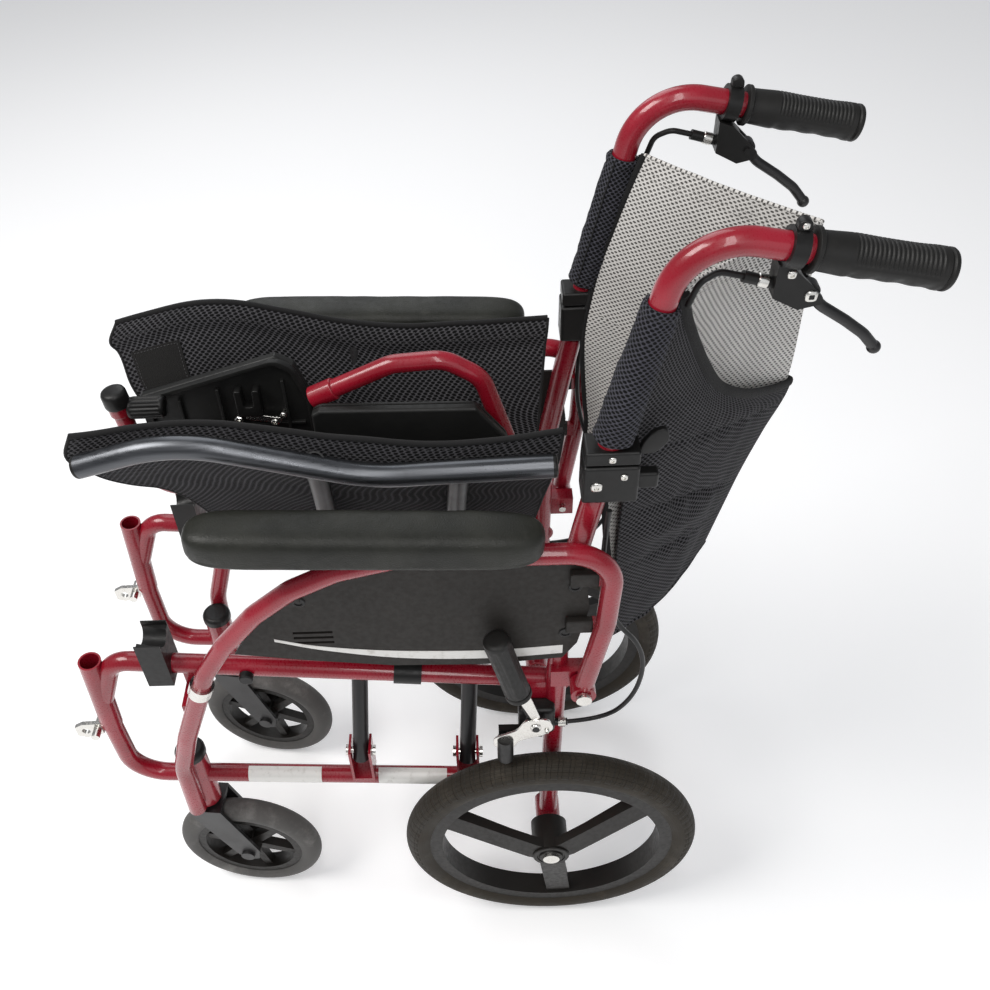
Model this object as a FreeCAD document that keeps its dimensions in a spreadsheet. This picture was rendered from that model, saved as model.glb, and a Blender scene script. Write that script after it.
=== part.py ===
import FreeCAD, Part
import math
import os

# A folding transport wheelchair, shown folded flat with its two footrests stowed in the seat pouch.
# Millimetres. X is across the chair (left side +X), the front faces -Y, Z is up from the floor.
# Inside this file Y is counted from the rear axle; every finished part is set back by axle_setback,
# which centres the whole chair over the origin.

V = FreeCAD.Vector
doc = FreeCAD.newDocument("transport_wheelchair")
dims = doc.addObject("Spreadsheet::Sheet", "dims")
VALUES = {}
FINISHED = []


def dim(alias, value):
    """A driving dimension: one row of the sheet."""
    row = len(VALUES) + 1
    dims.set("A%d" % row, alias.replace("_", " "))
    dims.set("B%d" % row, repr(value))
    dims.setAlias("B%d" % row, alias)
    VALUES[alias] = value
    return value


axle_setback = dim("axle_setback", 139.0)
frame_half_width = dim("frame_half_width", 104.0)
post_half_width = dim("post_half_width", 118.0)
frame_tube_radius = dim("frame_tube_radius", 11.0)
frame_bore_radius = dim("frame_bore_radius", 9.2)
receiver_radius = dim("receiver_radius", 12.5)
receiver_bore = dim("receiver_bore", 10.4)
housing_radius = dim("housing_radius", 17.0)
brace_radius = dim("brace_radius", 9.5)
brace_bore = dim("brace_bore", 7.9)
pivot_radius = dim("pivot_radius", 4.0)
pivot_hole = dim("pivot_hole", 4.06)
arm_tube_radius = dim("arm_tube_radius", 10.0)
arm_tube_bore = dim("arm_tube_bore", 8.4)
seat_rail_radius = dim("seat_rail_radius", 11.0)
seat_rail_bore = dim("seat_rail_bore", 8.8)
rear_wheel_radius = dim("rear_wheel_radius", 178.0)
rear_tyre_section = dim("rear_tyre_section", 18.0)
rear_tyre_ring = dim("rear_tyre_ring", 160.0)
rear_bead_radius = dim("rear_bead_radius", 148.2)
rear_rim_radius = dim("rear_rim_radius", 148.1)
rear_rim_inner = dim("rear_rim_inner", 133.0)
rear_rim_width = dim("rear_rim_width", 27.0)
rear_hub_radius = dim("rear_hub_radius", 22.0)
rear_track_half = dim("rear_track_half", 152.0)
axle_radius = dim("axle_radius", 6.0)
axle_hole = dim("axle_hole", 6.06)
caster_radius = dim("caster_radius", 95.0)
caster_section = dim("caster_section", 15.0)
caster_ring = dim("caster_ring", 80.0)
caster_bead = dim("caster_bead", 70.2)
caster_rim_radius = dim("caster_rim_radius", 70.1)
caster_rim_inner = dim("caster_rim_inner", 60.0)
caster_rim_width = dim("caster_rim_width", 21.0)
caster_trail = dim("caster_trail", 37.0)
pad_width = dim("pad_width", 50.0)
pad_length = dim("pad_length", 316.0)
pad_height = dim("pad_height", 38.0)
grip_radius = dim("grip_radius", 16.0)
grip_bore = dim("grip_bore", 11.06)
sleeve_radius = dim("sleeve_radius", 14.5)
sleeve_bore = dim("sleeve_bore", 11.4)
panel_thickness = dim("panel_thickness", 3.0)
cloth_thickness = dim("cloth_thickness", 3.0)
cable_radius = dim("cable_radius", 2.5)
hanger_radius = dim("hanger_radius", 9.0)
hanger_hole = dim("hanger_hole", 9.06)

# The folding line: every fold pivot is parallel to the lower rail, which falls to the rear by 3.7 degrees.
fold_slope = math.radians(3.7)
FOLD_AXIS = V(0, math.cos(fold_slope), -math.sin(fold_slope))
FOLD_UP = V(0, math.sin(fold_slope), math.cos(fold_slope))
PIVOT_POINT = V(0, -161, 303)
RAIL_HEIGHT = 473.0
BRACE_A_Y = (-225.0, -97.0)
BRACE_B_Y = (-247.0, -119.0)


def pivot_at(x, y, height=0.0):
    """The point on the lower pivot line at this x and y, raised by height square to the line."""
    along = (y - PIVOT_POINT.y) / FOLD_AXIS.y
    return V(x, PIVOT_POINT.y, PIVOT_POINT.z) + FOLD_AXIS * along + FOLD_UP * height


def set_size(obj, prop, value):
    """Binds a size to the sheet when it is given by name, or sets it as a plain number."""
    if isinstance(value, str):
        obj.setExpression(prop, "dims." + value)
    else:
        setattr(obj, prop, value)


def cylinder(radius, height, base, direction):
    obj = doc.addObject("Part::Cylinder", "cylinder")
    set_size(obj, "Radius", radius)
    set_size(obj, "Height", height)
    obj.Placement = FreeCAD.Placement(base, FreeCAD.Rotation(V(0, 0, 1), direction))
    return obj


def bar(radius, start, end):
    """A round bar between two points."""
    return cylinder(radius, (end - start).Length, start, end - start)


def block(low, high):
    """A box between two corners."""
    obj = doc.addObject("Part::Box", "block")
    obj.Length = abs(high.x - low.x)
    obj.Width = abs(high.y - low.y)
    obj.Height = abs(high.z - low.z)
    obj.Placement.Base = V(min(low.x, high.x), min(low.y, high.y), min(low.z, high.z))
    return obj


def slab(sizes, centre, rotation):
    """A box of three sizes about its own centre, turned and put in place."""
    obj = doc.addObject("Part::Box", "slab")
    for prop, size in zip(("Length", "Width", "Height"), sizes):
        set_size(obj, prop, size)
    numbers = [VALUES.get(size, size) for size in sizes]
    half = V(numbers[0] / 2, numbers[1] / 2, numbers[2] / 2)
    obj.Placement = FreeCAD.Placement(centre - rotation.multVec(half), rotation)
    return obj


def union(items):
    if len(items) == 1:
        return items[0]
    obj = doc.addObject("Part::MultiFuse", "union")
    obj.Shapes = items
    return obj


def minus(base, tools):
    obj = doc.addObject("Part::Cut", "cut")
    obj.Base = base
    obj.Tool = union(tools)
    return obj


def bent_wire(points, bend):
    """Straight runs joined by round bends, as one wire."""
    edges = []
    start = points[0]
    for before, corner, after in zip(points, points[1:], points[2:]):
        a = (before - corner).normalize()
        b = (after - corner).normalize()
        turn = math.pi - a.getAngle(b)
        reach = bend * math.tan(turn / 2)
        reach = min(reach, 0.49 * (before - corner).Length, 0.49 * (after - corner).Length)
        first = corner + a * reach
        last = corner + b * reach
        radius = reach / math.tan(turn / 2)
        inward = (a + b).normalize()
        middle = corner + inward * (math.hypot(radius, reach) - radius)
        if (first - start).Length > 1e-6:
            edges.append(Part.makeLine(start, first))
        edges.append(Part.Arc(first, middle, last).toShape())
        start = last
    edges.append(Part.makeLine(start, points[-1]))
    return Part.Wire(edges)


def rod(radius, points, bend=40.0):
    """A round section swept along straight runs and bends."""
    spine = doc.addObject("Part::Feature", "path")
    spine.Shape = bent_wire(points, bend)
    section = doc.addObject("Part::Circle", "section")
    set_size(section, "Radius", radius)
    section.Placement = FreeCAD.Placement(points[0], FreeCAD.Rotation(V(0, 0, 1), points[1] - points[0]))
    obj = doc.addObject("Part::Sweep", "rod")
    obj.Sections = [section]
    obj.Spine = (spine, ["Edge%d" % (n + 1) for n in range(len(spine.Shape.Edges))])
    obj.Solid = True
    obj.Frenet = False
    return obj


def profile(points, placement, depth):
    """A closed outline drawn in a sketch and pulled out square to it."""
    sketch = doc.addObject("Sketcher::SketchObject", "outline")
    corners = [V(a, b, 0) for a, b in points]
    for first, last in zip(corners, corners[1:] + corners[:1]):
        sketch.addGeometry(Part.LineSegment(first, last), False)
    sketch.Placement = placement
    obj = doc.addObject("Part::Extrusion", "plate")
    obj.Base = sketch
    obj.DirMode = "Custom"
    obj.Dir = placement.Rotation.multVec(V(0, 0, 1))
    set_size(obj, "LengthFwd", depth)
    obj.Solid = True
    return obj


def side_plate(points, x, depth):
    """An outline in the Y-Z plane at this x, as thick as depth towards +X."""
    turn = FreeCAD.Rotation(V(0, 1, 0), V(0, 0, 1), V(1, 0, 0), "XYZ")
    return profile(points, FreeCAD.Placement(V(x, 0, 0), turn), depth)


def rounded(base, radius, pick=None):
    """Rounds the edges of a feature, all of them or those that pick chooses."""
    doc.recompute()
    obj = doc.addObject("Part::Fillet", "rounded")
    obj.Base = base
    edges = []
    for number, edge in enumerate(base.Shape.Edges):
        if pick is None or pick(edge):
            edges.append((number + 1, radius, radius))
    obj.Edges = edges
    return obj


def placed(label, feature, at=None, turn=None):
    """Names a finished part and gives it its place in the chair."""
    base = at or V(0, 0, 0)
    rotation = turn or FreeCAD.Rotation()
    whole = doc.addObject("Part::MultiFuse" if isinstance(feature, list) else "Part::Compound", label)
    if isinstance(feature, list):
        whole.Shapes = feature
    else:
        whole.Links = [feature]
    whole.Label = label
    whole.Placement = FreeCAD.Placement(V(base.x, base.y, base.z), rotation)
    whole.setExpression("Placement.Base.y", "dims.axle_setback + %r" % base.y)
    FINISHED.append(whole)
    return whole


def yz(x, pairs):
    return [V(x, y, z) for y, z in pairs]


def upper_rail_z(y):
    return 497.0 - 0.1083 * (y + 463.0)


def lower_rail_z(y):
    return 246.0 - 0.0642 * (y + 138.0)


# Centre lines, as Y-Z pairs, that more than one part uses.
CANE_FOOT = (41.6, 808.8)
CANE_TOP = (70.6, 941.0)
CANE_CORNER = (83.7, 1002.0)
GRIP_START = (171.0, 983.0)
GRIP_LINE = V(0, 105.0, -23.0).normalize()
POST_LINE = [(0.0, 156.0), (5.0, 590.0), (23.0, 700.0), (30.5, 742.0)]
FRONT_POST = [(129.0, -438.0, 222.0), (130.5, -433.0, 322.0), (138.0, -410.0, 398.0), (144.0, -374.5, 492.0)]
SEAT_RAIL = [(-427.0, 785.0), (-338.0, 810.0), (-168.0, 760.0), (-6.0, 765.0)]
RING_FOOT = V(144, -374.5, 492)
RING_DIRECTION = V(6, 35.5, 94).normalize()


def side_frame(side, name, brace_ys):
    """One welded side: front leg with its footrest socket, rails, posts, caster housing and brackets."""
    x = side * frame_half_width
    xp = side * post_half_width
    front_post = [V(side * a, b, c) for a, b, c in FRONT_POST]
    leg = [(-502.0, 498.0), (-510.0, 379.0), (-509.0, 270.0), (2.0, lower_rail_z(2.0))]
    rail = [(6.0, upper_rail_z(6.0)), (-478.0, upper_rail_z(-478.0)), (-506.0, 426.0)]
    outer = [
        rod("receiver_radius", yz(x, leg[:2])),
        rod("frame_tube_radius", yz(x, leg[1:]), 46.0),
        rod("frame_tube_radius", yz(x, rail), 26.0),
        rod("frame_tube_radius", yz(xp, POST_LINE), 120.0),
        rod("frame_tube_radius", front_post, 90.0),
        cylinder("housing_radius", 107.0, V(x, -432, 208), V(0, 0, 1)),
        block(V(x, -402, 446), V(side * 140, -386, 461)),
        block(V(x - 5, -402, 446), V(x + 5, -386, 486)),
    ]
    hollow = [
        rod("receiver_bore", yz(x, leg[:2])),
        rod("frame_bore_radius", yz(x, leg[1:]), 46.0),
        rod("frame_bore_radius", yz(x, rail), 26.0),
        rod("frame_bore_radius", yz(xp, POST_LINE), 120.0),
        rod("frame_bore_radius", front_post, 90.0),
    ]
    pockets = []
    for y in brace_ys:
        pivot = pivot_at(x, y)
        rail_top = lower_rail_z(y) + 7.0
        for end in (-1, 1):
            ear = y + end * 12.0
            low = V(x - 14, ear - 1.5, rail_top)
            high = V(x + 14, ear + 1.5, pivot.z + 13)
            outer.append(block(low, high))
        outer.append(block(V(x - 14, y - 13.5, rail_top), V(x + 14, y + 13.5, rail_top + 6)))
        pockets.append(bar("pivot_hole", pivot - FOLD_AXIS * 20, pivot + FOLD_AXIS * 20))
    # rear brackets for the swinging armrest, the parking brake and the axle
    outer.append(block(V(xp, -4, 474), V(side * 135.5, 41, 500)))
    outer.append(block(V(x, -38, 420), V(side * 121, 6, 452)))
    outer.append(bar(15.0, V(side * 100, 0, 178), V(side * 132.5, 0, 178)))
    pockets.append(bar("pivot_hole", V(side * 100, 28, 487), V(side * 150, 28, 487)))
    pockets.append(bar("axle_hole", V(side * 90, 0, 178), V(side * 150, 0, 178)))
    stem_well = cylinder("axle_hole", 103.0, V(x, -432, 200), V(0, 0, 1))
    solid_core = cylinder(14.0, 107.0, V(x, -432, 208), V(0, 0, 1))
    welded = minus(union(outer), hollow)
    welded = minus(union([welded, solid_core]), pockets + [stem_well])
    placed("side_frame_" + name, welded)


def frame_fittings(side, name, brace_ys):
    """Bright hardware of one side: axle, pivot bolts, arm socket ring and the footrest latch plate."""
    x = side * frame_half_width
    items = [
        bar("axle_radius", V(side * 98, 0, 178), V(side * 184, 0, 178)),
        bar(10.5, V(side * 94, 0, 178), V(side * 99.5, 0, 178)),
        bar(10.0, V(side * 179.5, 0, 178), V(side * 184, 0, 178)),
        bar("pivot_radius", V(side * 112, 28, 487), V(side * 163, 28, 487)),
        bar(8.0, V(side * 159, 28, 487), V(side * 164, 28, 487)),
    ]
    for y in brace_ys:
        pivot = pivot_at(x, y)
        items.append(bar("pivot_radius", pivot - FOLD_AXIS * 15, pivot + FOLD_AXIS * 15))
        items.append(bar(6.5, pivot - FOLD_AXIS * 17.8, pivot - FOLD_AXIS * 14.1))
        items.append(bar(6.5, pivot + FOLD_AXIS * 14.1, pivot + FOLD_AXIS * 17.8))
    foot = V(side * RING_FOOT.x, RING_FOOT.y, RING_FOOT.z)
    up = V(side * RING_DIRECTION.x, RING_DIRECTION.y, RING_DIRECTION.z)
    ring = bar(13.0, foot + up * 0.4, foot + up * 17)
    ring = minus(ring, [bar(10.15, foot - up * 5, foot + up * 22)])
    plate = side_plate(
        [(-524, 379), (-524, 359), (-546, 352), (-556, 356), (-556, 372), (-546, 378)],
        x - 2.5, 5.0,
    )
    plate = minus(plate, [bar(5.0, V(x - 9, -544, 365), V(x + 9, -544, 365))])
    bolt = bar(5.0, V(x - 14.5, -529, 369), V(x + 14.5, -529, 369))
    placed("frame_fittings_" + name, [union(items), ring, union([plate, bolt])])


def seat_saddles(side, name):
    """Black plastic on the side frame: front saddle for the seat rail, strap band and housing cap."""
    x = side * frame_half_width
    y = -423.0
    rail = V(x, y, upper_rail_z(y))
    along = V(0, 1, -0.1083).normalize()
    body = block(V(x - 18, -438, 474), V(x + 18, -410, 543))
    cut_rail = bar(11.1, rail - along * 60, rail + along * 60)
    groove = bar(11.9, V(x - side * 11.6, -470, 529.7), V(x + side * 9.0, -380, 547.4))
    above = block(V(x - 16.5, -460, 537), V(x + 16.5, -390, 570))
    saddle = minus(body, [cut_rail, groove, above])
    band_at = V(x, -172, upper_rail_z(-172))
    band = minus(bar(13.5, band_at, band_at + along * 30), [bar(11.1, band_at - along * 5, band_at + along * 40)])
    dome = minus(
        rounded(cylinder(18.5, 12.0, V(x, -432, 309), V(0, 0, 1)), 6.0, lambda e: e.BoundBox.ZMin > 320),
        [cylinder(17.1, 6.5, V(x, -432, 309), V(0, 0, 1)), rod(11.4, [V(side * a, b, c) for a, b, c in FRONT_POST], 90.0)],
    )
    placed("seat_saddles_" + name, [saddle, band, dome])


def rear_wheel(side, name):
    across = FreeCAD.Rotation(V(0, 0, 1), V(1, 0, 0))
    torus = doc.addObject("Part::Torus", "tyre")
    set_size(torus, "Radius1", "rear_tyre_ring")
    set_size(torus, "Radius2", "rear_tyre_section")
    tyre = minus(torus, [cylinder("rear_bead_radius", 60.0, V(0, 0, -30), V(0, 0, 1))])
    hub_at = V(side * rear_track_half, 0, rear_wheel_radius)
    placed("rear_tyre_" + name, tyre, hub_at, across)
    ring = cylinder("rear_rim_radius", "rear_rim_width", V(0, 0, -rear_rim_width / 2), V(0, 0, 1))
    ring = minus(ring, [cylinder("rear_rim_inner", 60.0, V(0, 0, -30), V(0, 0, 1))])
    low, high = (-17.5, 26.0) if side > 0 else (-26.0, 17.5)
    parts = [ring, cylinder("rear_hub_radius", high - low, V(0, 0, low), V(0, 0, 1))]
    for n in range(3):
        angle = math.radians(6 + 120 * n)
        radial = V(math.cos(angle), math.sin(angle), 0)
        tangent = V(math.sin(angle), -math.cos(angle), 0)
        dished = [(10, 25.5), (24, 25.5), (60, 20.5), (138, 9), (138, -6), (60, 9), (24, 14), (10, 14)]
        spoke = profile(
            [(reach, side * depth) for reach, depth in dished],
            FreeCAD.Placement(tangent * -15.0, FreeCAD.Rotation(radial, V(0, 0, 1), tangent, "XYZ")), 30.0,
        )
        parts.append(spoke)
    wheel = minus(union(parts), [cylinder("axle_hole", 90.0, V(0, 0, -45), V(0, 0, 1))])
    placed("rear_rim_" + name, wheel, hub_at, across)


def caster(side, name, yaw):
    stem = V(side * frame_half_width, -432, 0)
    turn = FreeCAD.Rotation(V(0, 0, 1), yaw)
    hub = V(0, caster_trail, caster_radius)
    fork = [
        block(V(-21.5, -20, 196), V(21.5, 20, 203)),
        cylinder(12.0, 4.6, V(0, 0, 203), V(0, 0, 1)),
        cylinder("axle_radius", 93.0, V(0, 0, 203), V(0, 0, 1)),
    ]
    leg = [(-20, 203), (20, 203), (54, 104), (50, 84), (34, 80), (22, 96), (-20, 190)]
    fork.append(side_plate(leg, -21.5, 4.0))
    fork.append(side_plate(leg, 17.5, 4.0))
    fork.append(bar("pivot_radius", hub - V(21, 0, 0), hub + V(21, 0, 0)))
    fork.append(bar(9.0, hub - V(25.5, 0, 0), hub - V(21, 0, 0)))
    fork.append(bar(9.0, hub + V(21, 0, 0), hub + V(25.5, 0, 0)))
    placed("caster_fork_" + name, union(fork), stem, turn)

    torus = doc.addObject("Part::Torus", "tyre")
    set_size(torus, "Radius1", "caster_ring")
    set_size(torus, "Radius2", "caster_section")
    across = FreeCAD.Rotation(V(0, 0, 1), V(1, 0, 0))
    tyre = minus(torus, [cylinder("caster_bead", 60.0, V(0, 0, -30), V(0, 0, 1))])
    hub_at = stem + turn.multVec(hub)
    placed("caster_tyre_" + name, tyre, hub_at, turn.multiply(across))
    ring = cylinder("caster_rim_radius", "caster_rim_width", V(0, 0, -caster_rim_width / 2), V(0, 0, 1))
    ring = minus(ring, [cylinder("caster_rim_inner", 60.0, V(0, 0, -30), V(0, 0, 1))])
    parts = [ring, cylinder(15.0, 33.0, V(0, 0, -16.5), V(0, 0, 1))]
    for n in range(6):
        spoke = profile(
            [(8, -7), (63, -5), (63, 5), (8, 7)],
            FreeCAD.Placement(V(0, 0, -6), FreeCAD.Rotation(V(0, 0, 1), 60 * n + 15)), 12.0,
        )
        parts.append(spoke)
    wheel = minus(union(parts), [cylinder("pivot_hole", 60.0, V(0, 0, -30), V(0, 0, 1))])
    placed("caster_rim_" + name, wheel, hub_at, turn.multiply(across))


def armrest(side, name):
    """The swing-back armrest: bent tube, padded top and side panel."""
    up = V(side * RING_DIRECTION.x, RING_DIRECTION.y, RING_DIRECTION.z)
    foot = V(side * RING_FOOT.x, RING_FOOT.y, RING_FOOT.z) + up * 2.0
    points = [
        foot, foot + up * 36, V(side * 147.5, -332, 575), V(side * 149, -293, 624),
        V(side * 150.5, -252, 661), V(side * 152, -205, 688), V(side * 152, -150, 703),
        V(side * 152, 49, 702), V(side * 151, 45, 600), V(side * 148, 28, 487),
    ]
    tube = rod("arm_tube_radius", points, 44.0)
    core = rod("arm_tube_bore", points, 44.0)
    lug = bar(13.0, V(side * 138, 28, 487), V(side * 157.5, 28, 487))
    tabs = [
        block(V(side * 140.7, 10, 651), V(side * 148, 41, 667)),
        block(V(side * 140.7, 8, 582), V(side * 148, 40, 598)),
        block(V(side * 140.7, -262, 640), V(side * 148, -246, 660)),
    ]
    solid = union([minus(tube, [core]), lug] + tabs)
    placed("arm_tube_" + name, minus(solid, [bar("pivot_hole", V(side * 130, 28, 487), V(side * 170, 28, 487))]))

    tilt = FreeCAD.Rotation(V(1, 0, 0), -3.0)
    pad = rounded(slab(["pad_width", "pad_length", "pad_height"], V(side * 163.2, -173.5, 742.2), tilt), 11.0)
    placed("arm_pad_" + name, pad)

    outline = [
        (-326, 552), (-311, 577), (-281, 614), (-243, 643), (-203, 662), (-150, 682), (22, 680), (30, 610),
        (20, 556), (6, 532), (-70, 524), (-165, 526), (-250, 538),
    ]
    low = 137.5 if side > 0 else -140.5
    panel = side_plate(outline, low, "panel_thickness")
    slots = [block(V(side * 130, -262 + 14 * n, 566), V(side * 150, -222 + 14 * n, 569.5)) for n in range(1)]
    for n in (1, 2):
        slots.append(block(V(side * 130, -262, 566 + 8 * n), V(side * 150, -222, 569.5 + 8 * n)))
    placed("side_panel_" + name, minus(panel, slots))


def arm_latch(side, name):
    """The black release knob that stands out of the side of the upper rail."""
    x = side * (frame_half_width + frame_tube_radius + 0.6)
    knob = rounded(bar(8.0, V(x, -330, upper_rail_z(-330)), V(x + side * 9, -330, upper_rail_z(-330))), 2.0)
    placed("arm_latch_" + name, knob)


def parking_brake(side, name):
    """Fixed body with the tyre shoe, and the hand lever that swings forward to lock."""
    body = block(V(side * 121.3, -38, 392), V(side * 141, 2, 436))
    body = minus(rounded(body, 5.0), [rod(11.4, yz(side * post_half_width, POST_LINE), 120.0)])
    arm = block(V(side * 138, -60, 394), V(side * 146, -12, 408))
    shoe = bar(9.0, V(side * 152, -53, 364), V(side * 152, -53, 402))
    cheek = bar(10.0, V(side * 138, -20, 424), V(side * 143, -20, 424))
    pin = bar("pivot_radius", V(side * 140, -20, 424), V(side * 157, -20, 424))
    nozzle = bar(4.0, V(side * 133.8, 1, 404), V(side * 133.8, 16, 404.5))
    placed("brake_body_" + name, union([body, arm, shoe, cheek, pin, nozzle]))

    plate = rounded(bar(11.0, V(side * 143.6, -20, 424), V(side * 150, -20, 424)), 1.0)
    shank = slab([6.0, 12.0, 90.0], V(side * 147, -30, 462), FreeCAD.Rotation(V(1, 0, 0), 15))
    handle = bar(13.0, V(side * 158, -38, 492), V(side * 158, -61, 586))
    handle = rounded(handle, 4.0)
    neck = bar(5.0, V(side * 145, -37.5, 490.5), V(side * 158, -39, 497))
    lever = minus(union([plate, shank, handle, neck]), [bar("pivot_hole", V(side * 130, -20, 424), V(side * 154, -20, 424))])
    placed("brake_handle_" + name, lever)


def brake_cable(side, name):
    """The lower run of the hand brake cable, from the parking brake up the back post."""
    points = [
        V(side * 133.8, 16.2, 404.5), V(side * 133.6, 56, 408), V(side * 133, 84, 444), V(side * 132, 93, 498),
        V(side * 132, 84, 540), V(side * 132, 60, 572), V(side * 132.5, 47, 610), V(side * 133, 38, 668),
        V(side * 133, 42, 736),
    ]
    placed("brake_cable_" + name, rod("cable_radius", points, 40.0))


def back_hinge(side, name):
    """The frame half of the back's folding hinge, a black bracket round the post top."""
    xp = side * post_half_width
    body = rounded(block(V(xp - 15, 17, 744.6), V(xp + 15, 65.5, 786.5)), 3.0)
    tab = rounded(block(V(xp - 6, 60, 752), V(xp + 6, 84, 770)), 3.0)
    placed("back_hinge_" + name, union([body, tab]))


def cane(side, name):
    """The folding push cane: red tube, black hinge collar, sleeve, grip and brake bracket."""
    xp = side * post_half_width
    end = V(xp, GRIP_START[0], GRIP_START[1]) + GRIP_LINE * 100
    line = yz(xp, [(38.2, 791.0), CANE_CORNER]) + [end]
    tube = minus(rod("frame_tube_radius", line, 52.0), [rod("frame_bore_radius", line, 52.0)])
    collar = rounded(block(V(xp - 14.5, 18, 788.2), V(xp + 14.5, 65.0, 803)), 2.5)
    slope = V(0, CANE_CORNER[0] - 38.2, CANE_CORNER[1] - 791.0).normalize()
    foot = V(xp, 38.2, 791.0)
    collar = minus(collar, [bar("frame_tube_radius", foot - slope * 20, foot + slope * 30)])
    placed("cane_" + name, tube)
    placed("cane_collar_" + name, collar)

    sleeve_line = yz(xp, [CANE_FOOT, CANE_TOP])
    sleeve = minus(rod("sleeve_radius", sleeve_line), [bar("sleeve_bore", V(xp, 34.4, 773.4), V(xp, 79.7, 983.6))])
    placed("cane_sleeve_" + name, sleeve)

    start = V(xp, GRIP_START[0], GRIP_START[1])
    stop = start + GRIP_LINE * 107
    body = rounded(bar("grip_radius", start, stop), 5.0)
    flange = bar(17.5, start + GRIP_LINE * 0.2, start + GRIP_LINE * 5)
    grip = minus(union([body, flange]), [bar("grip_bore", start - GRIP_LINE * 5, start + GRIP_LINE * 101)])
    placed("push_grip_" + name, grip)

    clamp_at = start - GRIP_LINE * 17
    ring = minus(bar(15.5, clamp_at, clamp_at + GRIP_LINE * 12), [bar(11.3, clamp_at - GRIP_LINE * 3, clamp_at + GRIP_LINE * 15)])
    x = side * 114.0
    web = side_plate(
        [(150, 974), (163, 969), (179, 953), (187, 944), (187, 938), (170, 934), (150, 945)],
        x - 9.0, 18.0,
    )
    slot = side_plate([(176, 980), (200, 980), (200, 920), (165, 920), (165, 946)], x - 5.0, 10.0)
    bracket = minus(union([ring, web]), [slot, bar("frame_tube_radius", start - GRIP_LINE * 60, stop)])
    pin = bar(3.0, V(x - 11, 178, 946), V(x + 11, 178, 946))
    barrel = bar(4.5, V(x, 151, 953), V(x, 128, 960))
    loop = rod("cable_radius", [V(x, 128.5, 960), V(x, 110, 965), V(side * 117, 96, 958), V(side * 117.5, 89.6, 938)], 14.0)
    placed("brake_bracket_" + name, union([bracket, pin, barrel, loop]))


def brake_lever(side, name):
    """The curved hand lever under the grip."""
    x = side * 114.0
    head = bar(8.0, V(x - 4.2, 178, 946), V(x + 4.2, 178, 946))
    route = [V(x, 178, 946), V(x, 190, 931), V(x, 211, 916.5), V(x, 228, 903), V(x - side * 1.5, 239.5, 889)]
    blade = rod(4.4, route, 28.0)
    ball = doc.addObject("Part::Sphere", "ball")
    ball.Radius = 5.5
    ball.Placement.Base = V(x - side * 1.5, 239.5, 888.7)
    lever = minus(union([head, blade, ball]), [bar(3.06, V(x - 12, 178, 946), V(x + 12, 178, 946))])
    placed("brake_lever_" + name, lever)


def back_cloth(side, name):
    """Half of the back upholstery above the hinge, and half of the flap below it."""
    for label, foot, top, depth, reach in (
        ("back_panel_", CANE_FOOT, CANE_TOP, 165.0, (20.0, 180.0)),
        ("back_flap_", (4.2, 532.0), (29.5, 736.0), 172.0, (20.0, 186.0)),
    ):
        swing = math.atan2(post_half_width, depth)
        low = V(side * post_half_width, foot[0], foot[1])
        high = V(side * post_half_width, top[0], top[1])
        up = (high - low).normalize()
        rear = V(0, up.z, -up.y)
        out = V(-side * math.sin(swing), 0, 0) + rear * math.cos(swing)
        turn = FreeCAD.Rotation(out, up.cross(out), up, "XZY")
        centre = (low + high) * 0.5 + out * (sum(reach) / 2)
        cloth = slab([reach[1] - reach[0], "cloth_thickness", (high - low).Length - 2], centre, turn)
        placed(label + name, cloth)


def seat_rail(side, name):
    """The double-curved seat rail that the sling hangs from."""
    x = side * frame_half_width
    line = yz(x, SEAT_RAIL)
    rail = minus(rod("seat_rail_radius", line, 190.0), [rod("seat_rail_bore", line, 190.0)])
    placed("seat_rail_" + name, rail)


def seat_cloth(side, name):
    """Half of the sling seat, hanging from the inner side of its rail into the pouch."""
    hang = math.radians(22.5)
    hinge = pivot_at(side * 88.0, -216.0, 480.0)
    out = V(-side * math.sin(hang), 0, 0) - FOLD_UP * math.cos(hang)
    normal = FOLD_AXIS.cross(out)
    turn = FreeCAD.Rotation(out, FOLD_AXIS, normal, "XYZ")
    cloth = slab([180.0, 408.0, "cloth_thickness"], hinge + out * 110.0, turn)
    placed("seat_panel_" + name, cloth)


def rail_centre_z(y):
    """Height of the seat rail's centre line at y, away from its bends."""
    pairs = SEAT_RAIL
    for (y0, z0), (y1, z1) in zip(pairs, pairs[1:]):
        if y0 <= y <= y1:
            return z0 + (z1 - z0) * (y - y0) / (y1 - y0)
    return pairs[-1][1]


def brace(label, side, ys):
    """Two parallel tubes from the lower pivots on this side up to the seat rail on the other side."""
    tubes = []
    holes = []
    for y in ys:
        foot = pivot_at(side * frame_half_width, y)
        head = pivot_at(-side * frame_half_width, y, RAIL_HEIGHT)
        line = (head - foot).normalize()
        short_by = RAIL_HEIGHT - (rail_centre_z(y) - pivot_at(0, y).z)
        stop = head - line * (short_by * 0.915)
        tubes.append(bar("brace_radius", foot - line * 12, stop))
        holes.append(bar("brace_bore", foot + line * 16, stop + line * 5))
        holes.append(rod(seat_rail_radius + 0.06, yz(-side * frame_half_width, SEAT_RAIL), 190.0))
        middle = (foot + head) * 0.5
        holes.append(bar("pivot_hole", foot - FOLD_AXIS * 14, foot + FOLD_AXIS * 14))
        holes.append(bar("pivot_hole", middle - FOLD_AXIS * 14, middle + FOLD_AXIS * 14))
    placed(label, minus(union(tubes), holes))


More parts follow.
